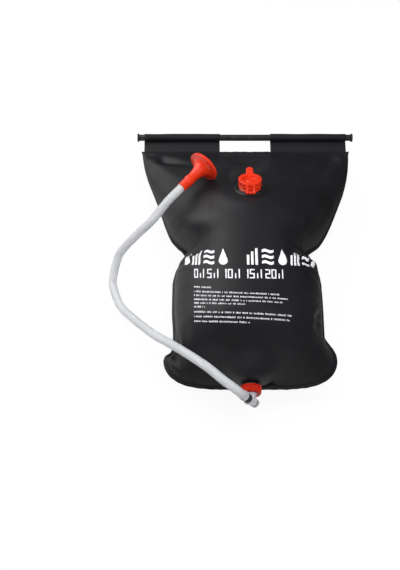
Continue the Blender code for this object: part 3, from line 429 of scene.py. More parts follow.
def make_world(settings):
    """White where it is looked at, and a soft light on everything else, dimmer towards the horizon."""
    world = bpy.data.worlds.new("surroundings")
    bpy.context.scene.world = world
    world.use_nodes = True
    tree = world.node_tree
    background = tree.nodes["Background"]
    background.inputs["Color"].default_value = WHITE
    coords = tree.nodes.new("ShaderNodeTexCoord")
    parts = tree.nodes.new("ShaderNodeSeparateXYZ")
    tree.links.new(coords.outputs["Generated"], parts.inputs[0])
    sky = ranged(tree, parts.outputs["Z"], SKY_LOW, SKY_HIGH,
                 settings.world_strength * SKY_LOW_SHARE, settings.world_strength)
    path = tree.nodes.new("ShaderNodeLightPath").outputs
    seen = calculated(tree, "MAXIMUM", path["Is Camera Ray"], path["Is Transmission Ray"])
    tree.links.new(ranged(tree, seen, 0, 1, sky, 1), background.inputs["Strength"])


class SHOWERBAG_OT_stage(bpy.types.Operator):
    """Make the camera, the lamps, the surroundings and the pale floor"""
    bl_idname = "showerbag.stage"
    bl_label = "Stage"

    def execute(self, context):
        settings = context.scene.shower_stage
        context.scene.view_settings.view_transform = "Standard"
        make_camera(settings)
        make_world(settings)
        make_floor()
        middle = (0, 0, BAG_HEIGHT / 2)
        add_lamp("key_light", KEY_PLACE, KEY_SIZE, settings.key_power, middle)
        add_lamp("fill_light", FILL_PLACE, FILL_SIZE, settings.fill_power, middle, False)
        return {"FINISHED"}


# Finishes


PATCH_DETAIL = 4
PATCH_LOW = 0.3
PATCH_HIGH = 0.7
SPECK_ROUGHNESS = 0.7


class Finish:
    """A Principled material whose colour, roughness and relief come from layers of noise."""

    def __init__(self, name, colour, roughness):
        self.material = bpy.data.materials.new(name)
        self.material.use_nodes = True
        self.tree = self.material.node_tree
        self.shader = self.tree.nodes["Principled BSDF"]
        self.coords = self.tree.nodes.new("ShaderNodeTexCoord")
        self.colour = (*colour, 1)
        self.shown = self.colour
        self.roughness = roughness
        self.relief = None
        self.constant("Base Color", self.colour)
        self.constant("Roughness", roughness)

    def constant(self, name, value):
        self.shader.inputs[name].default_value = value

    def link(self, value, name):
        self.tree.links.new(value, self.shader.inputs[name])

    def noise(self, scale, detail, stretch=(1, 1, 1), roughness=0.5):
        mapping = self.tree.nodes.new("ShaderNodeMapping")
        mapping.inputs["Scale"].default_value = stretch
        self.tree.links.new(self.coords.outputs["Object"], mapping.inputs["Vector"])
        made = self.tree.nodes.new("ShaderNodeTexNoise")
        made.inputs["Scale"].default_value = scale
        made.inputs["Detail"].default_value = detail
        made.inputs["Roughness"].default_value = roughness
        self.tree.links.new(mapping.outputs[0], made.inputs["Vector"])
        return made.outputs["Fac"]

    def blend(self, value, first, second):
        """Show a blend of two colours, each plain or from another node."""
        made = self.tree.nodes.new("ShaderNodeMix")
        made.data_type = "RGBA"
        self.tree.links.new(value, made.inputs["Factor"])
        for name, colour in (("A", first), ("B", second)):
            socket = [item for item in made.inputs if item.name == name and item.type == "RGBA"][0]
            feed(self.tree, socket, colour)
        self.shown = [item for item in made.outputs if item.type == "RGBA"][0]
        self.link(self.shown, "Base Color")

    def tint(self, factor):
        return tuple(min(1, channel * factor) for channel in self.colour[:3]) + (1,)

    def vary_colour(self, scale, darker, lighter):
        value = ranged(self.tree, self.noise(scale, PATCH_DETAIL), PATCH_LOW, PATCH_HIGH, 0, 1)
        self.blend(value, self.tint(darker), self.tint(lighter))

    def scatter(self, scale, detail, low, high, share, colour):
        """Let another colour through in scattered specks."""
        noise_value = self.noise(scale, detail, roughness=SPECK_ROUGHNESS)
        self.blend(ranged(self.tree, noise_value, low, high, 0, share), self.shown, colour)

    def vary_roughness(self, scale, spread):
        value = ranged(self.tree, self.noise(scale, PATCH_DETAIL), PATCH_LOW, PATCH_HIGH,
                       self.roughness - spread, self.roughness + spread)
        self.link(value, "Roughness")

    def bump(self, height, distance, strength):
        """Lay one more relief over those before it."""
        made = self.tree.nodes.new("ShaderNodeBump")
        made.inputs["Strength"].default_value = strength
        made.inputs["Distance"].default_value = distance
        self.tree.links.new(height, made.inputs["Height"])
        if self.relief is not None:
            self.tree.links.new(self.relief, made.inputs["Normal"])
        self.relief = made.outputs[0]
        self.link(self.relief, "Normal")


# Recipes of the finishes: patches of colour (scale, darker, lighter), specks of another colour (scale,
# detail, low, high, share, colour), patches of gloss (scale, spread), reliefs (scale, detail, depth,
# strength, stretch) and fixed values of the shader

RED_RECIPE = {
    "roughness": 0.30,
    "patches": (60, 0.90, 1.08),
    "gloss": (240, 0.06),
    "reliefs": ((420, 2, 0.00003, 0.25), (2400, 2, 0.00001, 0.2)),
    "fixed": {"Specular IOR Level": 0.5, "Subsurface Weight": 0.12,
              "Subsurface Radius": (0.004, 0.0008, 0.0004), "Subsurface Scale": 1.0},
}
CLEAR_RECIPE = {
    "roughness": 0.22,
    "patches": (120, 0.93, 1.04),
    "gloss": (200, 0.07),
    "reliefs": ((500, 2, 0.00006, 0.5, (1, 1, 0.3)),),
    "fixed": {"Transmission Weight": 0.45, "IOR": 1.46},
}


def changed(recipe, name, value):
    """The same recipe with one fixed value changed."""
    return {**recipe, "fixed": {**recipe["fixed"], name: value}}


RECIPES = {
    "black_film": {
        "roughness": 0.50,
        "patches": (14, 0.82, 1.22),
        "specks": (150, 6, 0.58, 0.80, 0.16, (0.05, 0.05, 0.055, 1)),
        "gloss": (22, 0.05),
        "reliefs": ((38, 2, 0.0004, 0.25), (1400, 3, 0.00003, 0.35)),
        "fixed": {"Specular IOR Level": 0.30},
    },
    "white_print": {
        "roughness": 0.50,
        "specks": (900, 5, 0.60, 0.72, 0.55, (0.10, 0.10, 0.11, 1)),
        "gloss": (300, 0.08),
        "reliefs": ((1200, 3, 0.00003, 0.5),),
    },
    "red_plastic": RED_RECIPE,
    # Painted shade: the union nut's darker, less glossy copy of the red plastic
    "shaded_red_plastic": changed(RED_RECIPE, "Specular IOR Level", 0.2),
    "pink_plastic": RED_RECIPE,
    "black_plastic": {
        "roughness": 0.42,
        "patches": (90, 0.75, 1.5),
        "gloss": (300, 0.08),
        "reliefs": ((900, 3, 0.00005, 0.6),),
    },
    "clear_plastic": CLEAR_RECIPE,
    "grey_plastic": changed(CLEAR_RECIPE, "Transmission Weight", 0.20),
    "white_rubber": {
        "roughness": 0.62,
        "patches": (200, 0.9, 1.05),
        "gloss": (500, 0.06),
        "reliefs": ((1500, 3, 0.00005, 0.5),),
    },
    "milky_hose": {
        "roughness": 0.34,
        "patches": (14, 0.97, 1.02),
        "gloss": (160, 0.04),
        "reliefs": ((900, 2, 0.00001, 0.10),),
        "fixed": {"Transmission Weight": 0.58, "IOR": 1.25, "Subsurface Weight": 0.15,
                  "Subsurface Radius": (0.006, 0.006, 0.006), "Subsurface Scale": 1.0},
    },
}

# The setting that gives each finish its colour

COLOUR_SETTINGS = {
    "black_film": ("shower_film", "colour"),
    "white_print": ("shower_film", "print_colour"),
    "red_plastic": ("shower_fittings", "red"),
    # The nut's darker red is painted shade
    "shaded_red_plastic": ("shower_fittings", "deep_red"),
    "pink_plastic": ("shower_fittings", "pink"),
    "black_plastic": ("shower_fittings", "black"),
    "clear_plastic": ("shower_fittings", "clear"),
    "grey_plastic": ("shower_fittings", "grey"),
    "white_rubber": ("shower_fittings", "seal"),
    "milky_hose": ("shower_hose", "colour"),
}


def make_finish(name):
    group, setting = COLOUR_SETTINGS[name]
    recipe = RECIPES[name]
    finish = Finish(name, getattr(getattr(bpy.context.scene, group), setting), recipe["roughness"])
    if "patches" in recipe:
        finish.vary_colour(*recipe["patches"])
    if "specks" in recipe:
        finish.scatter(*recipe["specks"])
    finish.vary_roughness(*recipe["gloss"])
    for scale, detail, depth, strength, *stretch in recipe["reliefs"]:
        finish.bump(finish.noise(scale, detail, *stretch), depth, strength)
    for setting, value in recipe.get("fixed", {}).items():
        finish.constant(setting, value)
    return finish.material


MADE_FINISHES = {}


def material_named(name):
    """One material of each finish, made when it is first used."""
    if name not in MADE_FINISHES:
        MADE_FINISHES[name] = make_finish(name)
    return MADE_FINISHES[name]


# Shape helpers


def add_piece(name, mesh, finish, body, nodes=()):
    """Put a finished mesh in the scene on its body, in place of the nodes it stands for."""
    piece = bpy.data.objects.new(name, mesh)
    bpy.context.scene.collection.objects.link(piece)
    mesh.materials.clear()
    mesh.materials.append(material_named(finish))
    mesh.shade_smooth()
    mesh.set_sharp_from_angle(angle=SMOOTH_ANGLE)
    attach(piece, body)
    if nodes:
        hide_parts(*nodes)
    return piece


def thicken(piece, name, thickness, offset):
    shell = piece.modifiers.new(name, "SOLIDIFY")
    shell.thickness = thickness
    shell.offset = offset


def strip(bm, first, second, closed=False, flip=False):
    """Faces between two runs of vertices of equal length."""
    count = len(first)
    for index in range(count if closed else count - 1):
        ahead = (index + 1) % count
        face = (first[index], first[ahead], second[ahead], second[index])
        bm.faces.new(face[::-1] if flip else face)


def rounded_profile(corners, radius):
    """Round every corner of a closed (radius, height) profile that lies off the axis.

    A corner's third number is its own rounding, in place of the profile's.
    """
    count = len(corners)
    points = []
    for index, corner in enumerate(corners):
        here = Vector(corner[:2])
        limit = corner[2] if len(corner) > 2 else radius
        before = Vector(corners[index - 1][:2])
        after = Vector(corners[(index + 1) % count][:2])
        if limit <= 0 or here.x <= 0:
            points.append(here)
            continue
        into = (before - here).normalized()
        out = (after - here).normalized()
        reach = min(limit, (before - here).length * EDGE_SHARE, (after - here).length * EDGE_SHARE)
        start = here + into * reach
        finish = here + out * reach
        for step in range(CORNER_STEPS + 1):
            share = step / CORNER_STEPS
            points.append(start.lerp(here, share).lerp(here.lerp(finish, share), share))
    return points


def turned(points, steps=TURN_STEPS, wave=None):
    """Turn a closed profile about +Z; wave changes a point's radius by its angle and place."""
    bm = bmesh.new()
    rings = []
    for point in points:
        if point.x <= 0:
            rings.append([bm.verts.new((0, 0, point.y))])
            continue
        ring = []
        for step in range(steps):
            angle = math.tau * step / steps
            radius = point.x + (wave(point, angle) if wave else 0)
            ring.append(bm.verts.new((radius * math.cos(angle), radius * math.sin(angle), point.y)))
        rings.append(ring)
    for index, ring in enumerate(rings):
        following = rings[(index + 1) % len(rings)]
        if len(ring) == len(following) == steps:
            strip(bm, ring, following, True)
        elif len(following) == steps:
            for step, vert in enumerate(following):
                bm.faces.new((ring[0], following[(step + 1) % steps], vert))
        elif len(ring) == steps:
            for step, vert in enumerate(ring):
                bm.faces.new((vert, ring[(step + 1) % steps], following[0]))
    return bm


def mesh_from(bm, name, matrix=None):
    bmesh.ops.remove_doubles(bm, verts=bm.verts, dist=MERGE_DISTANCE)
    bmesh.ops.recalc_face_normals(bm, faces=bm.faces)
    if matrix is not None:
        bmesh.ops.transform(bm, matrix=matrix, verts=bm.verts)
    mesh = bpy.data.meshes.new(name)
    bm.to_mesh(mesh)
    bm.free()
    return mesh


def turned_mesh(name, corners, radius, matrix, steps=TURN_STEPS, wave=None):
    return mesh_from(turned(rounded_profile(corners, radius), steps, wave), name, matrix)


def turned_piece(name, corners, radius, matrix, finish, body, node, steps=TURN_STEPS, wave=None):
    """Turned mesh put in the scene in place of one node."""
    mesh = turned_mesh(name, corners, radius, matrix, steps, wave)
    return add_piece(name, mesh, finish, body, (node,))


def pillar(name, radius, low, high, matrix, rounding=0, steps=TURN_STEPS):
    """Plain round bar along the matrix's Z axis."""
    return turned_mesh(name, [(0, low), (radius, low), (radius, high), (0, high)], rounding, matrix, steps)


def corners_from(radius, level, rows, up=1):
    """Profile corners from rows of: in from the radius, up (-1: down) from the level, rounding."""
    return [(radius - inward, level + up * rise, rounding) for inward, rise, rounding in rows]


def ring_corners(outer, inner, low, high):
    return [(inner / 2, low), (outer / 2, low), (outer / 2, high), (inner / 2, high)]


def slab(outline, low, high, bevel):
    """Extruded outline with rounded edges."""
    bm = bmesh.new()
    face = bm.faces.new([bm.verts.new((x, y, low)) for x, y in outline])
    grown = bmesh.ops.extrude_face_region(bm, geom=[face])
    raised = [item for item in grown["geom"] if isinstance(item, bmesh.types.BMVert)]
    bmesh.ops.translate(bm, verts=raised, vec=(0, 0, high - low))
    bmesh.ops.recalc_face_normals(bm, faces=bm.faces)
    rims = [edge for edge in bm.edges if abs(edge.verts[0].co.z - edge.verts[1].co.z) < MERGE_DISTANCE]
    bmesh.ops.bevel(bm, geom=rims, offset=bevel, segments=BEVEL_STEPS, affect="EDGES", profile=0.5)
    return bm


def tongue(width, length):
    """Strip from the origin along +Y with a half-round end."""
    radius = width / 2
    arc = []
    for step in range(TONGUE_STEPS + 1):
        angle = math.pi * step / TONGUE_STEPS
        arc.append((radius * math.cos(angle), length - radius + radius * math.sin(angle)))
    return [(-radius, 0), (radius, 0)] + arc


def joined(base, tools):
    """The base mesh with each tool joined on or cut away: (mesh, "UNION" or "DIFFERENCE")."""
    holder = bpy.data.objects.new("bench", base)
    bpy.context.scene.collection.objects.link(holder)
    guides = []
    for mesh, operation in tools:
        guide = bpy.data.objects.new("tool", mesh)
        bpy.context.scene.collection.objects.link(guide)
        modifier = holder.modifiers.new("step", "BOOLEAN")
        modifier.operation = operation
        modifier.solver = "EXACT"
        modifier.object = guide
        guides.append(guide)
    bpy.context.view_layer.update()
    depsgraph = bpy.context.evaluated_depsgraph_get()
    shape = bpy.data.meshes.new_from_object(holder.evaluated_get(depsgraph))
    for item in [holder, *guides]:
        bpy.data.objects.remove(item, do_unlink=True)
    shape.name = base.name
    return shape


# Form of the filled film


def read_shares(table, share):
    """Smooth value between the table's points, flat at its highs and lows."""
    if share <= table[0][0]:
        return table[0][1]
    if share >= table[-1][0]:
        return table[-1][1]
    index = max(item for item in range(len(table) - 1) if table[item][0] <= share)
    slopes = [(second[1] - first[1]) / (second[0] - first[0]) for first, second in zip(table, table[1:])]
    tangents = []
    for point in (index, index + 1):
        if 0 < point < len(table) - 1:
            before, after = slopes[point - 1], slopes[point]
            tangents.append(0 if before * after <= 0 else 2 * before * after / (before + after))
        else:
            tangents.append(slopes[index])
    (start, first), (end, second) = table[index], table[index + 1]
    span = end - start
    t = (share - start) / span
    return ((2 * t**3 - 3 * t**2 + 1) * first + (t**3 - 2 * t**2 + t) * span * tangents[0]
            + (3 * t**2 - 2 * t**3) * second + (t**3 - t**2) * span * tangents[1])


def ease(value):
    """Smooth step from 0 to 1, level at both ends."""
    value = np.clip(value, 0, 1)
    return value**3 * (value * (6 * value - 15) + 10)


def seam_level(y):
    value = np.clip((y - WAIST_Y) / (TOP_Y - WAIST_Y), 0, 1)
    return SEAM_HEIGHT - SEAM_DROOP * value * value * (3 - 2 * value)


class FilmForm:
    """The two films as grids of points: plan, swell, creases and weld."""

    BAND_RINGS = 5

    def __init__(self, settings):
        self.settings = settings
        self.columns = settings.columns
        lower = round(settings.rows * LOWER_ROW_SHARE)
        upper = settings.rows - lower
        self.lines = [FOOT_CORNER_Y + (WAIST_Y - FOOT_CORNER_Y) * (row / lower) ** ROW_CROWDING
                      for row in range(lower)]
        self.lines += [WAIST_Y + (TOP_Y - WAIST_Y) * row / upper for row in range(upper + 1)]
        self.rows = len(self.lines) - 1
        self.shares = np.sin(np.pi / 2 * (2 * np.arange(self.columns + 1) / self.columns - 1))
        self.outer = self.outline()
        self.inner = self.inset(self.outer, WELD_WIDTH)

    def outline(self):
        """The outer edge as one closed run of points, anticlockwise from the left foot corner."""
        left = self.side(LEFT_SIDE_SHARES, -1)
        right = self.side(RIGHT_SIDE_SHARES, 1)
        across = (self.shares + 1) / 2
        foot = left[0] + (right[0] - left[0]) * across[:, None]
        foot[:, 1] -= FOOT_CORNER_RISE * np.sqrt(np.clip(1 - np.abs(self.shares) ** FOOT_SQUARENESS, 0, 1))
        top = np.stack([HALF_WIDTH * self.shares, np.full(self.columns + 1, TOP_Y)], -1)
        return np.concatenate([foot[:-1], right[:-1], top[:0:-1], left[:0:-1]])

    def side(self, table, sign):
        return np.array([(sign * HALF_WIDTH * read_shares(table, (y - FOOT_Y) / BAG_LENGTH), y)
                         for y in self.lines])

    # The nut's darker red finish is painted shade
    def inset(self, loop, distance):
        """Move the closed run inwards, square to its edges."""
        before = loop - np.roll(loop, 1, 0)
        after = np.roll(loop, -1, 0) - loop
        before /= np.linalg.norm(before, axis=1)[:, None]
        after /= np.linalg.norm(after, axis=1)[:, None]
        tangent = before + after
        tangent /= np.linalg.norm(tangent, axis=1)[:, None]
        inward = np.stack([-tangent[:, 1], tangent[:, 0]], -1)
        miter = np.clip(np.sum(tangent * after, 1), MITER_LIMIT, 1)
        return loop + inward * (distance / miter)[:, None]

    def runs(self, loop):
        """The closed run split into left, foot, right and top."""
        foot = loop[:self.columns + 1]
        right = loop[self.columns:self.columns + self.rows + 1]
        top = loop[self.columns + self.rows:2 * self.columns + self.rows + 1][::-1]
        left = np.concatenate([loop[2 * self.columns + self.rows:], loop[:1]])[::-1]
        return left, foot, right, top

    def calm(self, run, sign):
        """The side without its notches."""
        middle = [(FOOT_Y + BAG_LENGTH * place, HALF_WIDTH * share) for place, share in BELLY_SHARES]
        table = [(run[0][1], abs(run[0][0])), *middle, (run[-1][1], abs(run[-1][0]))]
        return np.array([(sign * read_shares(table, point[1]), point[1]) for point in run])

    def plan(self):
        left, foot, right, top = self.runs(self.inner)
        calm_left, calm_right = self.calm(left, -1), self.calm(right, 1)
        across = ((self.shares + 1) / 2)[None, :, None]
        up = (np.arange(self.rows + 1) / self.rows)[:, None, None]
        grid = calm_left[:, None] * (1 - across) + calm_right[:, None] * across
        foot_pull = foot[None] - (foot[0] * (1 - across) + foot[-1] * across)
        top_pull = top[None] - (top[0] * (1 - across) + top[-1] * across)
        grid = grid + foot_pull * (1 - up) ** END_SPREAD + top_pull * up ** END_SPREAD
        near_left = np.where(self.shares < 0, (-self.shares).clip(0) ** NOTCH_SPREAD, 0)[None, :, None]
        near_right = np.where(self.shares > 0, self.shares.clip(0) ** NOTCH_SPREAD, 0)[None, :, None]
        grid = grid + (left - calm_left)[:, None] * near_left + (right - calm_right)[:, None] * near_right
        return grid, foot[:, 1][None], top[:, 1][None]

    def pinch(self, plan, depths, x, y):
        """Share of its swell that a film keeps beside the left and right notch."""
        kept = np.ones(plan.shape[:2])
        for side, depth in zip((-1, 1), depths):
            place = np.array((side * x, WAIST_Y + y))
            offset = (plan - place) / np.array((PINCH_REACH, PINCH_WIDTH))
            kept = kept * (1 - depth * np.exp(-(offset**2).sum(-1)))
        return kept

    def fullness(self, y, foot_y, top_y):
        along = np.sin(np.pi / 2 * np.clip((y - foot_y) / FOOT_ROUNDING, 0, 1))
        along = along * np.sin(np.pi / 2 * np.clip((top_y - y) / TOP_TAPER, 0, 1))
        across = np.cos(np.pi / 2 * (2 * np.arange(self.columns + 1) / self.columns - 1)).clip(0)
        return across[None] ** SIDE_FULLNESS * along

    def settle(self, points, matrix, flat, blend):
        """Draw the film flat against a flange that lies on the matrix's XY plane."""
        turn = np.array(matrix.to_3x3())
        local = (points - np.array(matrix.translation)) @ turn
        distance = np.hypot(local[..., 0], local[..., 1])
        weight = np.where(np.abs(local[..., 2]) > flat + blend, 0, 1 - ease((distance - flat) / blend))
        local[..., 2] *= 1 - weight
        return local @ turn.T + np.array(matrix.translation)

    def front(self):
        """Outer face of the front film inside the weld, before its creases."""
        plan, foot_y, top_y = self.plan()
        level = seam_level(plan[..., 1])
        rise = (BAG_HEIGHT - CAD_FILM - SEAM_HEIGHT) * self.fullness(plan[..., 1], foot_y, top_y)
        rise *= self.pinch(plan, FRONT_PINCHES, FRONT_PINCH_X, FRONT_PINCH_Y)
        points = np.concatenate([plan, (level + rise)[..., None]], -1)
        points = self.settle(points, outlet_matrix(), OUTLET_FLANGE / 2 + OUTLET_FLAT, OUTLET_BLEND)
        points = self.settle(points, filler_matrix(), FILLER_FLANGE / 2 + FILLER_FLAT, FILLER_BLEND)
        points += normals_of(points) * CAD_FILM
        return points

    def back(self):
        plan, foot_y, top_y = self.plan()
        level = seam_level(plan[..., 1])
        share = np.minimum(1, self.fullness(plan[..., 1], foot_y, top_y) * GROUND_OVERFILL)
        share *= self.pinch(plan, BACK_PINCHES, BACK_PINCH_X, BACK_PINCH_Y)
        level = level - (level - FACE_GAP) * share
        return np.concatenate([plan, level[..., None]], -1)


TINY_LENGTH = 1e-9


def normals_of(grid):
    """Unit normals of a grid of points, up on the front film."""
    across = np.gradient(grid, axis=1)
    along = np.gradient(grid, axis=0)
    normal = np.cross(across, along)
    length = np.linalg.norm(normal, axis=-1, keepdims=True)
    return normal / np.maximum(length, TINY_LENGTH)


# Folds of the front film: a run of plan points, depth share, width, and the depth's share at each end

CREASES = (
    (((-0.121, -0.012), (-0.080, -0.030)), 0.55, 0.0065, 1.0, 0.0),
    (((-0.123, 0.010), (-0.080, 0.002)), 0.35, 0.0060, 1.0, 0.0),
    (((-0.120, -0.035), (-0.078, -0.062)), 0.40, 0.0050, 1.0, 0.0),
    (((0.114, -0.020), (0.040, -0.046)), 1.00, 0.0060, 1.0, 0.0),
    (((0.121, 0.008), (0.070, -0.008)), 0.55, 0.0055, 1.0, 0.0),
    (((0.118, -0.044), (0.070, -0.060)), 0.60, 0.0060, 1.0, 0.0),
    (((0.126, -0.070), (0.092, -0.058)), 0.45, 0.0060, 1.0, 0.0),
    (((-0.134, -0.166), (-0.130, -0.190), (-0.120, -0.222)), 1.00, 0.0055, 1.0, 0.2),
    (((0.138, -0.157), (0.122, -0.166), (0.104, -0.171)), 1.15, 0.0044, 1.0, 0.0),
    (((0.138, -0.122), (0.124, -0.134), (0.115, -0.150), (0.116, -0.170)), 1.00, 0.0046, 0.4, 0.2),
    (((-0.024, 0.184), (-0.0335, 0.164), (-0.0370, 0.140), (-0.0345, 0.116), (-0.0260, 0.094)),
     0.62, 0.0080, 0.1, 0.0),
    (((-0.160, 0.222), (-0.100, 0.196)), 0.90, 0.0085, 1.0, 0.3),
    (((0.172, 0.224), (0.130, 0.160)), 0.60, 0.0090, 1.0, 0.2),
    (((0.152, 0.100), (0.118, 0.020)), 0.45, 0.0110, 1.0, 0.3),
)

RIDGES = (
    (((-0.186, 0.222), (-0.128, 0.152)), 0.85, 0.0110, 1.0, 0.1),
    (((0.188, 0.226), (0.146, 0.150)), 0.80, 0.0110, 1.0, 0.1),
    (((-0.074, 0.060), (-0.074, -0.026)), 0.16, 0.0040, 1.0, 0.3),
    (((0.104, 0.050), (0.092, 0.004)), 0.25, 0.0070, 1.0, 0.2),
    (((0.098, -0.186), (0.084, -0.226)), 0.35, 0.0090, 1.0, 0.0),
    (((-0.104, -0.190), (-0.092, -0.232)), 0.30, 0.0090, 1.0, 0.0),
    (((-0.1405, -0.184), (-0.1400, -0.206), (-0.1340, -0.230)), 1.40, 0.0055, 0.6, 0.1),
    (((0.134, -0.136), (0.131, -0.158)), 0.90, 0.0050, 0.6, 0.3),
)


def distance_to_run(plan, run):
    """Distance from a run of plan points, and the share of its length at the nearest place."""
    steps = np.linalg.norm(np.diff(run, axis=0), axis=1)
    passed = np.concatenate([[0], np.cumsum(steps)])
    nearest = np.full(plan.shape[:2], np.inf)
    place = np.zeros(plan.shape[:2])
    for start, end, step, before in zip(run, run[1:], steps, passed):
        share = np.clip(((plan - start) @ (end - start)) / step**2, 0, 1)
        distance = np.linalg.norm(plan - (start + share[..., None] * (end - start)), axis=-1)
        place = np.where(distance < nearest, (before + share * step) / passed[-1], place)
        nearest = np.minimum(nearest, distance)
    return nearest, place


FOLD_START_POWER = 4
FOLD_END_POWER = 1.5
BANK_SHARE = 0.28
BANK_PLACE = 2.1


def fold_height(points, folds):
    """Sum of the folds' heights at the grid's plan places, one unit deep, each with a low bank beside it."""
    total = np.zeros(points.shape[:2])
    for run, depth, width, start_share, end_share in folds:
        distance, share = distance_to_run(points[..., :2], np.array(run))
        fade = start_share + (1 - start_share) * (1 - (1 - share) ** FOLD_START_POWER)
        fade = fade * (1 - (1 - end_share) * share**FOLD_END_POWER)
        total += depth * fade * np.exp(-(distance / width) ** 2)
        total -= BANK_SHARE * depth * fade * np.exp(-((distance - BANK_PLACE * width) / width) ** 2)
    return total


NOISE_GAIN = 1.6
NOISE_SEED_STEP = 2.7


def noise_height(points, scale, seed):
    """Slow seeded noise over the grid, about -1 to 1."""
    flat = points.reshape(-1, 3)
    shift = Vector((seed, NOISE_SEED_STEP * seed, 0))
    values = [noise.noise(Vector(point) * scale + shift) for point in flat]
    return np.array(values).reshape(points.shape[:2]) * NOISE_GAIN


CLEAR_RIM = 0.001
CLEAR_BLEND = 0.016


def fitting_clearance(points):
    """0 on the flanges and 1 away from them."""
    share = np.ones(points.shape[:2])
    for matrix, radius in ((filler_matrix(), FILLER_FLANGE / 2), (outlet_matrix(), OUTLET_FLANGE / 2)):
        distance = np.linalg.norm(points - np.array(matrix.translation), axis=-1)
        share = share * ease((distance - radius - CLEAR_RIM) / CLEAR_BLEND)
    return share


POINTS_AT_ONCE = 2000


def edge_distance(grid):
    """Distance from the nearest point of the grid's rim, in plan."""
    rim = np.concatenate([grid[0], grid[-1], grid[:, 0], grid[:, -1]])[:, :2]
    flat = grid[..., :2].reshape(-1, 2)
    nearest = np.empty(len(flat))
    for start in range(0, len(flat), POINTS_AT_ONCE):
        part = flat[start:start + POINTS_AT_ONCE]
        gaps = np.sqrt(((part[:, None] - rim[None]) ** 2).sum(-1))
        nearest[start:start + POINTS_AT_ONCE] = gaps.min(1)
    return nearest.reshape(grid.shape[:2])


WAVE_LENGTHS = (0.019, 0.043)
WAVE_SHIFT = 2.4
WAVE_SHIFT_SCALE = 22
WAVE_STRENGTH = 0.55
WAVE_STRENGTH_SPREAD = 0.7
WAVE_STRENGTH_SCALE = 14
WAVE_STRENGTH_SEED = 9
WAVE_STRENGTH_LIMITS = (0.1, 1.2)


def edge_noise(along, scale, seed):
    return np.array([noise.noise(Vector((place * scale, seed, 0))) for place in along])


def edge_wave(run, seed):
    """Uneven waves along a closed run of plan points."""
    steps = np.linalg.norm(np.roll(run, -1, 0) - run, axis=1)
    along = np.concatenate([[0], np.cumsum(steps)[:-1]])
    whole = steps.sum()
    shift = edge_noise(along, WAVE_SHIFT_SCALE, seed) * WAVE_SHIFT
    shift -= shift[0] * (1 - along / whole) + shift[-1] * along / whole
    wave = np.zeros(len(run))
    for part, length in enumerate(WAVE_LENGTHS):
        turns = round(whole / length)
        wave += np.sin(math.tau * turns * along / whole + shift + part) / (part + 1)
    strength = WAVE_STRENGTH + WAVE_STRENGTH_SPREAD * edge_noise(along, WAVE_STRENGTH_SCALE,
                                                                 seed + WAVE_STRENGTH_SEED)
    return wave * np.clip(strength, *WAVE_STRENGTH_LIMITS)


def outlet_lip(grid):
    """Draw the film out along the outlet's neck, but not the weld below it."""
    place = outlet_matrix()
    local = (grid - np.array(place.translation)) @ np.array(place.to_3x3())
    distance = np.hypot(local[..., 0], local[..., 1])
    share = 1 - ease((distance - SPIGOT_DIAMETER / 2) / LIP_SPREAD)
    share = share * ease((grid[..., 2] - SEAM_HEIGHT) / LIP_FROM_WELD)
    return grid + LIP_REACH * share[..., None] * np.array(place.to_3x3())[:, 2]


RIDGE_SHARE = 0.55
PUCKER_SEED = 4.0
PUCKER_FALL = 0.013
PUCKER_START = 0.004
SLACK = 0.0007
SLACK_SCALE = 13
SLACK_SEED = 3.0
RIPPLE = 0.00010
RIPPLE_SCALE = 48
RIPPLE_SEED = 5.0
WELD_BLEND = 0.010


def crease_film(form, grid, settings):
    """Add folds, puckers and slack to the front film."""
    inside = edge_distance(grid)
    height = settings.crease * (fold_height(grid, RIDGES) * RIDGE_SHARE - fold_height(grid, CREASES))
    sides = form.runs(edge_wave(form.inner, PUCKER_SEED)[:, None])
    puckers = pucker_field(form, *(side[:, 0] for side in sides))
    height += settings.pucker * puckers * np.exp(-inside / PUCKER_FALL) * ease(inside / PUCKER_START)
    height += (SLACK * noise_height(grid, SLACK_SCALE, SLACK_SEED)
               + RIPPLE * noise_height(grid, RIPPLE_SCALE, RIPPLE_SEED))
    height *= fitting_clearance(grid) * ease(inside / WELD_BLEND)
    return outlet_lip(grid + normals_of(grid) * height[..., None])


SIDE_GAP = 0.01
SIDE_POWER = 3


def pucker_field(form, left, foot, right, top):
    """Carry the edge's wave inwards from the nearest side."""
    row = np.arange(form.rows + 1)[:, None] / form.rows
    column = (form.shares[None] + 1) / 2
    gaps = (column + 0 * row, 1 - column + 0 * row, row + 0 * column, 1 - row + 0 * column)
    weights = [1 / (gap + SIDE_GAP) ** SIDE_POWER for gap in gaps]
    carried = (left[:, None] * weights[0] + right[:, None] * weights[1] + foot[None] * weights[2]
               + top[None] * weights[3])
    return carried / sum(weights)


WELD_DROOP = 0.0022
WELD_WAVE = 0.0010
WELD_SEED = 2.0
BEAD = 0.00035
BEAD_REACH = 1.6
BEAD_POWER = 4
EDGE_SQUEEZE = 0.35


def film_mesh(form, front, back, settings):
    """Both films and the pressed weld between them as one closed skin."""
    bm = bmesh.new()
    grids = []
    for points in (front, back):
        grids.append([[bm.verts.new(point) for point in line] for line in points])
    for grid, flip in zip(grids, (False, True)):
        for lower, upper in zip(grid, grid[1:]):
            strip(bm, lower, upper, flip=flip)
    rings = weld_rings(bm, form, settings)
    for side, grid in enumerate(grids):
        inner = grid_loop(grid)
        for pair in rings:
            strip(bm, pair[side], inner, True, side == 1)
            inner = pair[side]
    return bm


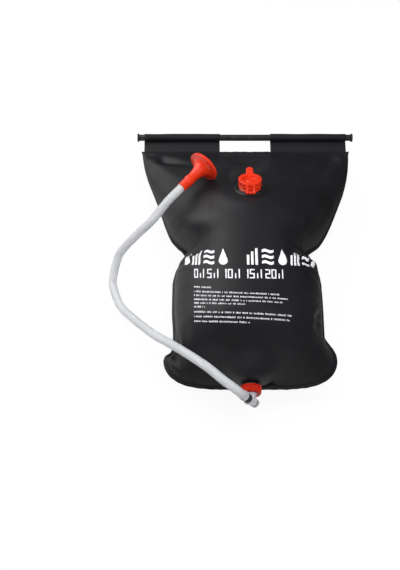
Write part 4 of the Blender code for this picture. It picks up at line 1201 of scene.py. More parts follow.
def weld_rings(bm, form, settings):
    """Rings of vertices across the weld, in pairs above and below; the outermost pair is one ring."""
    wave = edge_wave(form.outer, WELD_SEED)
    rings = []
    for ring in range(1, form.BAND_RINGS + 1):
        share = ring / form.BAND_RINGS
        last = ring == form.BAND_RINGS
        plan = form.inner + (form.outer - form.inner) * share
        droop = -WELD_DROOP * share**2 + WELD_WAVE * wave * share
        bead = BEAD * math.sin(math.pi * min(1, share * BEAD_REACH)) ** BEAD_POWER
        thick = settings.thickness + FACE_GAP + bead
        pair = []
        for side in (1,) if last else (1, -1):
            level = seam_level(plan[:, 1]) + droop + side * thick * (1 - EDGE_SQUEEZE * last)
            pair.append([bm.verts.new((*place, height)) for place, height in zip(plan, level)])
        rings.append(pair * 2 if last else pair)
    return rings


def grid_loop(grid):
    """The rim of a grid of vertices as one closed run, anticlockwise."""
    foot = grid[0]
    right = [line[-1] for line in grid]
    top = grid[-1]
    left = [line[0] for line in grid]
    return foot[:-1] + right[:-1] + top[:0:-1] + left[:0:-1]


def open_hole(bm, matrix, radius, reach):
    """Cut a round hole about the matrix's Z axis and lay its rim on the circle."""
    away = matrix.inverted()
    place = {vert: away @ vert.co for vert in bm.verts}

    def inside(vert):
        spot = place[vert]
        return abs(spot.z) < reach and math.hypot(spot.x, spot.y) < radius

    gone = {face for face in bm.faces if all(inside(vert) for vert in face.verts)}
    touched = {vert for face in gone for vert in face.verts}
    rim = [vert for vert in touched if any(face not in gone for face in vert.link_faces)]
    bmesh.ops.delete(bm, geom=list(gone), context="FACES")
    for vert in rim:
        spot = place[vert]
        grow = radius / math.hypot(spot.x, spot.y)
        vert.co = matrix @ Vector((spot.x * grow, spot.y * grow, spot.z))


class FilmMap:
    """Finds places on the finished front film by distance across and along it."""

    def __init__(self, grid):
        self.grid = grid
        self.normals = normals_of(grid)
        middle = grid.shape[1] // 2
        across = np.linalg.norm(np.diff(grid, axis=1), axis=-1)
        self.across = np.concatenate([np.zeros((len(grid), 1)), np.cumsum(across, 1)], 1)
        self.across -= self.across[:, middle:middle + 1]
        along = np.linalg.norm(np.diff(grid[:, middle], axis=0), axis=-1)
        self.along = np.concatenate([[0], np.cumsum(along)])

    def along_at(self, y):
        return float(np.interp(y, self.grid[:, self.grid.shape[1] // 2, 1], self.along))

    def point(self, across, along, lift):
        place = float(np.interp(along, self.along, np.arange(len(self.along))))
        row = min(int(place), len(self.along) - 2)
        share = place - row
        found = []
        for line in (row, row + 1):
            values = [np.interp(across, self.across[line], source[line, :, axis])
                      for source in (self.grid, self.normals) for axis in range(3)]
            found.append(np.array(values))
        values = found[0] * (1 - share) + found[1] * share
        return Vector(values[:3]) + Vector(values[3:]).normalized() * lift


FILLER_HOLE_REACH = 0.01
OUTLET_HOLE_REACH = 0.02

# The front film's finished grid, kept for the print

LAID_FILM = {}


class SHOWERBAG_OT_film(bpy.types.Operator):
    """Make the two welded films of the bag, swollen with water"""
    bl_idname = "showerbag.film"
    bl_label = "Bag Film"

    def execute(self, context):
        settings = context.scene.shower_film
        form = FilmForm(settings)
        front = crease_film(form, form.front(), settings)
        back = form.back()
        LAID_FILM["front"] = front
        bm = film_mesh(form, front, back, settings)
        open_hole(bm, filler_matrix(), FILLER_NECK / 2 + FACE_GAP, FILLER_HOLE_REACH)
        open_hole(bm, outlet_matrix(), SPIGOT_DIAMETER / 2 + FACE_GAP, OUTLET_HOLE_REACH)
        mesh = mesh_from(bm, "bag_film")
        crown = max(mesh.polygons, key=lambda face: face.center.z)
        if crown.normal.z < 0:
            mesh.flip_normals()
        bag = add_piece("bag_film", mesh, "black_film", "bag", ("front_panel", "back_panel"))
        thicken(bag, "film", settings.thickness, -1)
        return {"FINISHED"}


# Printed marks: plain shapes in places across and along the film


def bar(left, low, width, height):
    return [(left, low), (left + width, low), (left + width, low + height), (left, low + height)]


DROP_START = -205
DROP_SWEEP = 230
DROP_STEPS = 18
WAVE_STEPS = 24


def drop(x, low, width, height):
    """Water drop with its point up."""
    radius = width / 2
    middle = low + radius
    shape = []
    for step in range(DROP_STEPS + 1):
        angle = math.radians(DROP_START + DROP_SWEEP * step / DROP_STEPS)
        shape.append((x + radius * math.cos(angle), middle + radius * math.sin(angle)))
    return shape + [(x, low + height)]


def wave_band(left, low, width, thick, swing):
    top = [(left + width * step / WAVE_STEPS, low + thick + swing * math.sin(math.tau * step / WAVE_STEPS))
           for step in range(WAVE_STEPS + 1)]
    bottom = [(x, y - thick) for x, y in reversed(top)]
    return bottom + top


TITLE_HEIGHT = 0.0335
TITLE_Y = -0.0745
TITLE_LEFT = -0.139
TITLE_STEP = 0.0262
TITLE_SIGNS = "dbwd bwdbwd"
DROP_PLACE_SHARE = 0.42
DROP_WIDTH_SHARE = 0.62
BAR_STEP_SHARE = 0.28
BAR_WIDTH_SHARE = 0.17
BAR_LOW_SHARE = 0.6
BAR_RISE_SHARE = 0.2
WAVE_LOW_SHARE = 0.06
WAVE_STEP_SHARE = 0.34
WAVE_WIDTH_SHARE = 0.80
WAVE_THICK_SHARE = 0.17
WAVE_SWING_SHARE = 0.05
SCALE_HEIGHT = 0.0180
SCALE_Y = -0.1010
SCALE_LEFT = -0.1065
SCALE_LITRES = (0, 5, 10, 15, 20)
DIGIT_WIDTH = 0.0088
DIGIT_THICK_SHARE = 0.26
DIGIT_STEP_SHARE = 1.22
NUMBER_GAP_SHARE = 0.22
TICK_WIDTH_SHARE = 0.24
TICK_STEP_SHARE = 0.72
TICK_GAP_SHARE = 0.20
SHORT_TICK_SHARE = 0.55
LINE_HEIGHT = 0.0029
STROKE_SEED = 11
STROKE_WIDTHS = (0.0007, 0.0007, 0.0009, 0.0016)
STROKE_HEIGHT_SHARES = (0.70, 0.90, 1.0, 1.0)
STROKE_GAPS = (0.0007, 0.0007, 0.0008, 0.0009, 0.0010, 0.0032)
LINE_WIDTH_SHARES = (0.20, 0.88, 0.97, 0.91, 0.55, 0.13, 1.00, 0.97, 0.58)
LINE_Y_SHARES = (0.000, 0.125, 0.235, 0.345, 0.445, 0.550, 0.685, 0.805, 0.925)
BLOCK_LEFT = -0.1065
BLOCK_WIDTH = 0.176
BLOCK_TOP_Y = -0.1186
BLOCK_DEPTH = 0.0656
BLOCK_TILT = -0.042
PRINT_BOW = 1.5
PRINT_BOW_Y = -0.100
PRINT_BOW_FALL = 9.0
RIGHT_BOW_SHARE = 0.84
DIGIT_BARS = {
    "0": "abcdef", "1": "bc", "2": "abged", "3": "abgcd", "4": "fgbc", "5": "afgcd", "6": "afgedc",
    "7": "abc", "8": "abcdefg", "9": "abcdfg",
}


def digit(sign, left, low, width, height):
    """A plain number made of bars."""
    thick = width * DIGIT_THICK_SHARE
    half = height / 2
    bars = {
        "a": (left, low + height - thick, width, thick),
        "d": (left, low, width, thick),
        "g": (left, low + half - thick / 2, width, thick),
        "b": (left + width - thick, low + half, thick, half),
        "c": (left + width - thick, low, thick, half),
        "f": (left, low + half, thick, half),
        "e": (left, low, thick, half),
    }
    return [bar(*bars[name]) for name in DIGIT_BARS[sign]]


def title_marks():
    """Row of plain drops, bars and waves."""
    shapes = []
    for index, kind in enumerate(TITLE_SIGNS):
        x = TITLE_LEFT + index * TITLE_STEP
        if kind == "d":
            shapes.append(drop(x + TITLE_STEP * DROP_PLACE_SHARE, 0, TITLE_STEP * DROP_WIDTH_SHARE,
                               TITLE_HEIGHT))
        elif kind == "b":
            for part in range(3):
                height = TITLE_HEIGHT * (BAR_LOW_SHARE + BAR_RISE_SHARE * part)
                shapes.append(bar(x + part * TITLE_STEP * BAR_STEP_SHARE, 0, TITLE_STEP * BAR_WIDTH_SHARE,
                                  height))
        elif kind == "w":
            for part in range(3):
                low = TITLE_HEIGHT * (WAVE_LOW_SHARE + WAVE_STEP_SHARE * part)
                shapes.append(wave_band(x, low, TITLE_STEP * WAVE_WIDTH_SHARE,
                                        TITLE_HEIGHT * WAVE_THICK_SHARE, TITLE_HEIGHT * WAVE_SWING_SHARE))
    return shapes


def scale_marks():
    """Scale of plain numbers with a short and a tall tick after each."""
    shapes = []
    place = SCALE_LEFT
    for number in SCALE_LITRES:
        for sign in str(number):
            shapes += digit(sign, place, 0, DIGIT_WIDTH, SCALE_HEIGHT)
            place += DIGIT_WIDTH * DIGIT_STEP_SHARE
        place += DIGIT_WIDTH * NUMBER_GAP_SHARE
        for share in (SHORT_TICK_SHARE, 1):
            shapes.append(bar(place, 0, DIGIT_WIDTH * TICK_WIDTH_SHARE, SCALE_HEIGHT * share))
            place += DIGIT_WIDTH * TICK_STEP_SHARE
        place += DIGIT_WIDTH * TICK_GAP_SHARE
    return shapes


def line_marks():
    """Nine lines of fine upright strokes of uneven height, in groups."""
    draw = random.Random(STROKE_SEED)
    shapes = []
    for share, down in zip(LINE_WIDTH_SHARES, LINE_Y_SHARES):
        end = BLOCK_WIDTH * share
        place = 0
        while place < end:
            dash = draw.choice(STROKE_WIDTHS)
            rise = place * BLOCK_TILT - BLOCK_DEPTH * down
            height = LINE_HEIGHT * draw.choice(STROKE_HEIGHT_SHARES)
            if place + dash < end:
                shapes.append(bar(BLOCK_LEFT + place, rise, dash, height))
            place += dash + draw.choice(STROKE_GAPS)
    return shapes


PRINT_CELL = 0.0045
PRINT_THICKNESS = 0.00025
CUT_TOLERANCE = 1e-7


def print_bow(x, y):
    """How far a straight printed line rises towards the sides, less so near the foot."""
    bow = PRINT_BOW - PRINT_BOW_FALL * max(0, PRINT_BOW_Y - y)
    return bow * x * x * (RIGHT_BOW_SHARE if x > 0 else 1)


def lay_marks(film, shapes, base_y):
    """Put flat shapes on the film as thin closed ink."""
    base = film.along_at(base_y)
    bm = bmesh.new()
    for shape in shapes:
        face = bm.faces.new([bm.verts.new((x, y, 0)) for x, y in shape])
        cut_by_cells(bm, [face])
    for vert in bm.verts:
        x, y = vert.co.xy
        vert.co = film.point(x, base + y + print_bow(x, base_y + y), PRINT_THICKNESS)
    bmesh.ops.recalc_face_normals(bm, faces=bm.faces)
    return bm


def cut_by_cells(bm, faces):
    """Slice flat faces into small cells so that they follow the film."""
    for axis in (0, 1):
        places = [vert.co[axis] for face in faces for vert in face.verts]
        low, high = min(places), max(places)
        count = int((high - low) / PRINT_CELL)
        for step in range(1, count + 1):
            spot = Vector((0, 0, 0))
            spot[axis] = low + (high - low) * step / (count + 1)
            normal = Vector((0, 0, 0))
            normal[axis] = 1
            edges = {edge for face in faces for edge in face.edges}
            verts = {vert for face in faces for vert in face.verts}
            made = bmesh.ops.bisect_plane(bm, geom=[*verts, *edges, *faces], plane_co=spot, plane_no=normal,
                                          dist=CUT_TOLERANCE)
            faces = list({item for item in made["geom"] if isinstance(item, bmesh.types.BMFace)})


class SHOWERBAG_OT_marks(bpy.types.Operator):
    """Print plain generic marks on the front film"""
    bl_idname = "showerbag.marks"
    bl_label = "Printed Marks"

    def execute(self, context):
        film = FilmMap(LAID_FILM["front"])
        sets = (("title_marks", title_marks(), TITLE_Y), ("scale_marks", scale_marks(), SCALE_Y),
                ("line_marks", line_marks(), BLOCK_TOP_Y))
        for name, shapes, y in sets:
            bm = lay_marks(film, shapes, y)
            mesh = bpy.data.meshes.new(name)
            bm.to_mesh(mesh)
            bm.free()
            piece = add_piece(name, mesh, "white_print", "bag")
            thicken(piece, "ink", PRINT_THICKNESS, 0)
        return {"FINISHED"}


# Hanging hem and rod

ROD_WALL = 0.0018
ROD_STEPS = 64
PLUG_DEPTH = 0.010
HEM_STEPS = 40
HEM_TURN_SHARE = 0.86
HEM_TAIL_STEPS = 10
HEM_RETURN_STEPS = 12
HEM_RETURN_GAP = 0.0011
HEM_RETURN_EASE = 0.25
SLEEVE_STRIPS = 60
SLEEVE_TAIL_START = 0.25
SLEEVE_WAVE = 0.0009
SLEEVE_WAVE_SCALE = (34, 0.05)
SLEEVE_WAVE_SEED = 3.0
SLEEVE_SWELL = 0.0005
SLEEVE_SWELL_SCALE = (26, 0.16)
SLEEVE_SWELL_SEED = 8.0
SIDE_NAMES = {-1: "left", 1: "right"}


def hem_path(radius, tail):
    """Mid line of the folded sleeve: along the tail, round the rod and back."""
    points = [Vector((-tail * (1 - step / HEM_TAIL_STEPS), -radius)) for step in range(HEM_TAIL_STEPS)]
    for step in range(HEM_STEPS + 1):
        angle = math.tau * step / HEM_STEPS * HEM_TURN_SHARE
        points.append(Vector((radius * math.sin(angle), -radius * math.cos(angle))))
    finish = points[-1]
    start = Vector((-tail, -radius + HEM_RETURN_GAP))
    for step in range(1, HEM_RETURN_STEPS + 1):
        share = step / HEM_RETURN_STEPS
        points.append(finish.lerp(start, ease(share) * HEM_RETURN_EASE + (1 - HEM_RETURN_EASE) * share))
    return points


class SHOWERBAG_OT_hanger(bpy.types.Operator):
    """Make the rod, its end plugs and the two film sleeves that hold it"""
    bl_idname = "showerbag.hanger"
    bl_label = "Hem and Rod"

    def execute(self, context):
        low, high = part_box("hanging_rod")
        middle = (low + high) / 2
        radius = (high.z - low.z) / 2
        along = Matrix.Translation(middle) @ Matrix.Rotation(math.pi / 2, 4, "Y")
        half = (high.x - low.x) / 2
        bore = radius - ROD_WALL
        turned_piece("rod_tube", ring_corners(2 * radius, 2 * bore, -half, half), 0.0003, along,
                     "black_plastic", "bag", "hanging_rod", ROD_STEPS)
        for side in SIDE_NAMES:
            self.plug(side, middle, half, bore)
            self.sleeve(side, middle, radius)
        return {"FINISHED"}

    def plug(self, side, middle, half, bore):
        node = "rod_cap_" + SIDE_NAMES[side]
        size = node_size(node)
        head = size.z / 2
        spigot = bore - FACE_GAP
        height = size.x - PLUG_DEPTH
        corners = [(0, -PLUG_DEPTH), (spigot, -PLUG_DEPTH), (spigot, 0), (head, 0), (head, height, 0.0012),
                   (0, height)]
        place = Matrix.Translation(middle + Vector((side * (half + FACE_GAP), 0, 0)))
        turn = Matrix.Rotation(side * math.pi / 2, 4, "Y")
        turned_piece("plug_" + SIDE_NAMES[side], corners, 0.0004, place @ turn, "black_plastic", "bag", node,
                     ROD_STEPS)

    def sleeve(self, side, middle, radius):
        """One folded sleeve with small waves along its length."""
        node = "hem_" + SIDE_NAMES[side]
        low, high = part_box(node)
        length = high.x - low.x
        film = bpy.context.scene.shower_film.thickness
        tail = middle.y - low.y
        path = hem_path(radius + FACE_GAP + film / 2, tail)
        bm = bmesh.new()
        lines = []
        for step in range(SLEEVE_STRIPS + 1):
            x = low.x + length * step / SLEEVE_STRIPS
            line = []
            for index, point in enumerate(path):
                wave = self.waviness(x, index, SLEEVE_WAVE_SCALE, SLEEVE_WAVE_SEED + side)
                wave *= SLEEVE_WAVE * max(0, -point.x / tail - SLEEVE_TAIL_START)
                round_rod = point.x > -radius
                swell = 1 + self.waviness(x, index, SLEEVE_SWELL_SCALE, SLEEVE_SWELL_SEED + side)
                reach = 1 + SLEEVE_SWELL * swell * round_rod / radius
                line.append(bm.verts.new((x, middle.y + point.x * reach, middle.z + point.y * reach + wave)))
            lines.append(line)
        for first, second in zip(lines, lines[1:]):
            for index in range(len(path) - 1):
                bm.faces.new((first[index], second[index], second[index + 1], first[index + 1]))
        name = "sleeve_" + SIDE_NAMES[side]
        piece = add_piece(name, mesh_from(bm, name), "black_film", "bag", (node,))
        thicken(piece, "film", film, 0)

    def waviness(self, x, index, scale, seed):
        return noise.noise(Vector((x * scale[0], index * scale[1], seed)))


# Filler; the rows of its profiles are those of corners_from

HINGE_STEPS = 48
DRILL_REACH = 0.02
PIN_PLAY = 0.00016
FLANGE_RIM_WALL = 0.0007
FLANGE_RIM_DRAFT = 0.0010
FLANGE_GROOVE_RADII = (0.0262, 0.0242, 0.0222)
FLANGE_GROOVE = ((0, 0, 0.0002), (0.0003, 0.0005, 0.0001), (0.0007, 0.0005, 0.0001), (0.0010, 0, 0.0002))
COLLAR_THREADS = 3
COLLAR_PITCH = 0.0009
COLLAR_THREAD_START = 0.6
COLLAR_THREAD = ((0, -0.0003, 0), (-0.0004, 0, 0.0002), (0, 0.0003, 0))
CAP_WALL = 0.0024
CAP_ROOF = 0.0022
CAP_SKIRT = ((0, 0, 0.0005), (0, 0.0020, 0.0003), (0.0004, 0.0024, 0.0003), (0.0004, 0.0072, 0.0003),
             (0, 0.0076, 0.0003))
RECESS_RADIUS = 0.0135
RECESS_DEPTH = 0.0046
RECESS_FLARE = 0.0004
RECESS_DRAFT = 0.0003
BOSS_RADIUS = 0.0048
BOSS = ((-0.0020, 0, 0.0006), (0, 0.0015, 0.0007), (0.0018, 0.0012, 0.0008))
BOSS_MIDDLE = 0.0006
ARM_LAP = 0.0012
ARM_SINK = 0.0001
ARM_FOOT_SHARE = 0.6
ARM_TOP_WIDTH = 0.0026
ARM_TOP_DROP = 0.0012
TAB_WIDTH = 0.013
TAB_LENGTH = 0.0169
TAB_THICKNESS = 0.0026
TAB_ROOT = 0.0024
TAB_DROP = 0.0012
TAB_LIFT = math.radians(28)
TAB_RIBS = {"count": 3, "width": 0.0084, "start": 0.0075, "pitch": 0.0021, "thick": 0.0008,
            "low": 0.0024, "high": 0.0031}
RIB_ROUNDING = 0.0002


def hinge_axis():
    """+Z along the hinge pin, before the filler is tilted."""
    return Matrix.Translation((0, -HINGE_REACH, hinge_height())) @ Matrix.Rotation(math.pi / 2, 4, "Y")


def pin_hole():
    return pillar("pin_hole", (PIN_DIAMETER + PIN_PLAY) / 2, -DRILL_REACH, DRILL_REACH, hinge_axis(), 0,
                  HINGE_STEPS)


def grip_ribs(matrix, count, width, start, pitch, thick, low, high):
    """Small cross ribs for a finger, as tools to join on."""
    ribs = []
    for step in range(count):
        ridge = bar(-width / 2, start + step * pitch, width, thick)
        ribs.append((mesh_from(slab(ridge, low, high, RIB_ROUNDING), "rib", matrix), "UNION"))
    return ribs


class SHOWERBAG_OT_filler(bpy.types.Operator):
    """Make the filler: weld flange, threaded collar, seal, hinge pin and flip cap"""
    bl_idname = "showerbag.filler"
    bl_label = "Filler"

    def execute(self, context):
        place = filler_matrix()
        self.flange(place)
        self.collar(place)
        self.pin(place)
        self.cap(place)
        return {"FINISHED"}

    def flange(self, place):
        low = CAD_FILM + FACE_GAP
        high = low + FLANGE_THICKNESS
        bore, neck, rim = FILLER_BORE / 2, FILLER_NECK / 2, FILLER_FLANGE / 2
        corners = [(bore, -FILLER_NECK_DEPTH), (neck, -FILLER_NECK_DEPTH), (neck, low), (rim, low),
                   (rim, low + FLANGE_RIM_WALL), (rim - FLANGE_RIM_DRAFT, high, 0.0008)]
        for radius in FLANGE_GROOVE_RADII:
            corners += corners_from(radius, high, FLANGE_GROOVE, -1)
        corners.append((bore, high))
        turned_piece("filler_ring_base", corners, 0.0004, place, "black_plastic", "bag", "filler_flange")

    def collar(self, place):
        """Threaded collar with the hinge's knuckle on its web, and the seal in its mouth."""
        low, high = collar_base(), collar_top()
        outside = COLLAR_DIAMETER / 2
        bore = FILLER_BORE / 2
        seat = bore + SEAL_WIDTH + FACE_GAP
        waist = COLLAR_HEIGHT / 4
        root = outside - waist
        corners = [(bore, low), (outside, low), (outside, low + waist), (root, low + 2 * waist)]
        for turn in range(COLLAR_THREADS):
            level = low + 2 * waist + (turn + COLLAR_THREAD_START) * COLLAR_PITCH
            corners += corners_from(root, level, COLLAR_THREAD)
        corners += [(root, high), (seat, high), (seat, high - SEAL_DEPTH), (bore, high - SEAL_DEPTH)]
        base = turned_mesh("filler_collar_ring", corners, 0.0003, None)
        half = KNUCKLE_WIDTH / 2
        knuckle = pillar("knuckle", KNUCKLE_DIAMETER / 2, -half, half, hinge_axis(), 0.0004, HINGE_STEPS)
        web_end = -outside + 2 * waist
        web = slab([(-half, -HINGE_REACH), (half, -HINGE_REACH), (half, web_end), (-half, web_end)],
                   low, hinge_height(), 0.0003)
        tools = ((knuckle, "UNION"), (mesh_from(web, "web"), "UNION"), (pin_hole(), "DIFFERENCE"))
        mesh = joined(base, tools)
        mesh.transform(place)
        add_piece("filler_collar_ring", mesh, "red_plastic", "bag", ("filler_collar",))
        ring = ring_corners(FILLER_BORE + 2 * SEAL_WIDTH, FILLER_BORE, high - SEAL_DEPTH + FACE_GAP, high)
        turned_piece("filler_seal_ring", ring, 0.0004, place, "white_rubber", "bag", "filler_seal")

    def pin(self, place):
        half = node_size("filler_pin").x / 2
        mesh = pillar("hinge_pin", PIN_DIAMETER / 2, -half, half, place @ hinge_axis(), 0.0003, HINGE_STEPS)
        add_piece("hinge_pin", mesh, "black_plastic", "bag", ("filler_pin",))

    def cap(self, place):
        """Flip cap: ring with a hollow top and a boss, two hinge arms and a ribbed lift tab."""
        low = collar_top() + FACE_GAP
        high = low + CAP_HEIGHT
        outside = CAP_DIAMETER / 2
        inside = outside - CAP_WALL
        floor = high - RECESS_DEPTH
        step_radius = RECESS_RADIUS + CAP_ROOF
        corners = [(0, floor - CAP_ROOF), (step_radius, floor - CAP_ROOF), (step_radius, high - CAP_ROOF),
                   (inside, high - CAP_ROOF), (inside, low), *corners_from(outside, low, CAP_SKIRT),
                   (outside, high, 0.0016), (RECESS_RADIUS + RECESS_FLARE, high, 0.0014),
                   (RECESS_RADIUS - RECESS_DRAFT, floor, 0.0010), *corners_from(BOSS_RADIUS, floor, BOSS),
                   (0, floor + BOSS_MIDDLE)]
        base = turned_mesh("flip_cap", corners, 0.0005, None)
        tools = [*self.arm(-1, low, high), *self.arm(1, low, high), (pin_hole(), "DIFFERENCE")]
        root = Matrix.Translation((0, outside - TAB_ROOT, high - TAB_THICKNESS - TAB_DROP))
        root = root @ Matrix.Rotation(TAB_LIFT, 4, "X")
        tab = slab(tongue(TAB_WIDTH, TAB_LENGTH), 0, TAB_THICKNESS, 0.0008)
        tools.append((mesh_from(tab, "tab", root), "UNION"))
        tools += grip_ribs(root, **TAB_RIBS)
        mesh = joined(base, tools)
        mesh.transform(place)
        add_piece("flip_cap", mesh, "red_plastic", "cap", ("filler_cap",))

    def arm(self, side, low, high):
        """Eye round the hinge pin and the arm that carries it, as tools to join on."""
        level = hinge_height()
        radius = KNUCKLE_DIAMETER / 2
        half = HINGE_ARM_WIDTH / 2
        middle = side * (KNUCKLE_WIDTH / 2 + FACE_GAP + half)
        shift = Matrix.Translation((middle, -HINGE_REACH, level))
        across = shift @ Matrix.Rotation(math.pi / 2, 4, "Y")
        eye = pillar("eye", radius, -half, half, across, 0.0006, HINGE_STEPS)
        wall = HINGE_STANDOFF + ARM_LAP
        top = high - level - ARM_TOP_DROP
        outline = [(-radius + ARM_SINK, 0), (radius * ARM_FOOT_SHARE, 0), (wall, low - level), (wall, top),
                   (wall - ARM_TOP_WIDTH, top)]
        turn = Matrix.Rotation(math.pi / 2, 4, "Z") @ Matrix.Rotation(math.pi / 2, 4, "X")
        arm = mesh_from(slab(outline, -half + ARM_SINK, half - ARM_SINK, 0.0007), "arm", shift @ turn)
        return [(eye, "UNION"), (arm, "UNION")]


# Outlet, union nut and tap; the rows of their profiles are those of corners_from

WASHER_THICKNESS = 0.0018
TAP_FLANGE_THICKNESS = 0.0022
OUTLET_LEDGE = 0.0012
OUTLET_THREAD_START = 0.0004
OUTLET_THREAD_END = 0.0024
OUTLET_THREAD_PITCH = 0.0022
OUTLET_THREAD_DEPTH = 0.0006
OUTLET_THREAD = ((0, 0, 0.0001), (-OUTLET_THREAD_DEPTH, 0.0005, 0.0002),
                 (-OUTLET_THREAD_DEPTH, 0.0009, 0.0002), (0, 0.0014, 0.0001))
NUT_PLAY = 0.0003
NUT_DRAFT = 0.0012
NUT_MOUTH = 0.0103
NUT_FOOT = ((0.0003, 0, 0.0006), (0, 0.0007, 0.0004), (0, 0.0017, 0.0004), (0.0008, 0.0023, 0.0003))
NUT_CROWN = ((0, 0.0022, 0.0010), (0.0014, 0.0002, 0.0008), (0.0030, 0, 0.0004))
NUT_MOUTH_RIM = ((-0.0014, 0, 0.0004), (0, 0.0006, 0.0003))
RIBBED_FROM = 0.0021
RIBBED_TO = 0.0010
RIBBED_DEPTH = 0.0016
NUT_RIBS = 24
NUT_RIB_STEPS = 14
NUT_RIB_DEPTH = 0.0015
NUT_RIB_POWER = 1.6
TAP_FACE = 0.0100
TAP_NECK = 0.00675
TAP_SHOULDER = 0.0012
TAP_STEP = 0.0022
TAP_WAY = 0.00375
TAP_WAY_LEAD = 0.003
PLUG_PLAY = 0.0003
PLUG_HEAD = 0.0016
KEY_HUB = 0.0060
KEY_HUB_HEIGHT = 0.0030
WING_WIDTH = 0.0150
WING_LENGTH = 0.0140
WING_HALF = 0.0015
WING_RIBS = {"count": 4, "width": 0.0100, "start": 0.0052, "pitch": 0.0019, "thick": 0.0007,
             "low": -0.0018, "high": 0.0018}
BARB_WALL = 0.0018
BARB_GROOVE_START = 0.0030
BARB_GROOVE_PITCH = 0.0036
BARB_GROOVE = ((0, 0, 0.0003), (0.0007, 0.0004, 0.0002), (0.0007, 0.0010, 0.0002), (0, 0.0014, 0.0003))
STEM_PLAY = 0.0001
STEM_NECK = 0.0004
STEM_TOOTH_START = 0.0010
STEM_TOOTH_PITCH = 0.0030
STEM_TOOTH = ((STEM_NECK, 0, 0), (0, 0, 0.0002), (0.0009, 0.0026, 0.0002))
STEM_TIP = 0.0012
STEM_LENGTH = 0.0104
CLIP_WALLS = 0.0018
CLIP_LENGTH = 0.0040


def nut_front():
    return NUT_STANDOFF + NUT_HEIGHT


def tap_flange_top():
    return nut_front() - NUT_FRONT_WALL - FACE_GAP


def washer_top():
    return tap_flange_top() - TAP_FLANGE_THICKNESS - FACE_GAP


def spigot_tip():
    return washer_top() - WASHER_THICKNESS - FACE_GAP


class SHOWERBAG_OT_outlet(bpy.types.Operator):
    """Make the outlet: weld flange and spigot, washer and ribbed union nut"""
    bl_idname = "showerbag.outlet"
    bl_label = "Outlet"

    def execute(self, context):
        place = outlet_matrix()
        self.flange(place)
        self.nut(place)
        ring = ring_corners(SPIGOT_DIAMETER, OUTLET_BORE, spigot_tip() + FACE_GAP, washer_top())
        turned_piece("flat_washer", ring, 0.0003, place, "white_rubber", "bag", "outlet_washer")
        return {"FINISHED"}

    def flange(self, place):
        """Weld flange and spigot, with the thread that the nut turns on."""
        bore, spigot, rim = OUTLET_BORE / 2, SPIGOT_DIAMETER / 2, OUTLET_FLANGE / 2
        high = -FACE_GAP
        low = high - FLANGE_THICKNESS
        neck = spigot - OUTLET_THREAD_DEPTH
        corners = [(bore, low), (rim, low), (rim, high), (neck, high, 0),
                   (neck, NUT_STANDOFF - OUTLET_LEDGE, 0.0002)]
        level = NUT_STANDOFF - OUTLET_THREAD_START
        while level < spigot_tip() - OUTLET_THREAD_END:
            corners += corners_from(neck, level, OUTLET_THREAD)
            level += OUTLET_THREAD_PITCH
        corners += [(neck, spigot_tip(), 0.0004), (bore, spigot_tip())]
        turned_piece("outlet_spigot", corners, 0.0003, place, "black_plastic", "bag", "outlet_flange")

    def nut(self, place):
        """Ribbed union nut; the wave draws its side in between the ribs."""
        back = NUT_DIAMETER / 2
        front = back - NUT_DRAFT
        low, high = NUT_STANDOFF, nut_front()
        inner = SPIGOT_DIAMETER / 2 + NUT_PLAY
        shoulder = high - NUT_FRONT_WALL
        corners = [(inner, low, 0.0003), *corners_from(back, low, NUT_FOOT),
                   *corners_from(front, high, NUT_CROWN, -1),
                   *corners_from(NUT_MOUTH, high, NUT_MOUTH_RIM, -1),
                   (NUT_MOUTH, shoulder), (inner, shoulder)]

        def wave(point, angle):
            if not low + RIBBED_FROM < point.y < high - RIBBED_TO or point.x <= front - RIBBED_DEPTH:
                return 0
            return -NUT_RIB_DEPTH * (0.5 - 0.5 * math.cos(NUT_RIBS * angle)) ** NUT_RIB_POWER

        turned_piece("union_nut", corners, 0.0004, place, "shaded_red_plastic", "nut", "outlet_nut",
                     NUT_RIBS * NUT_RIB_STEPS, wave)


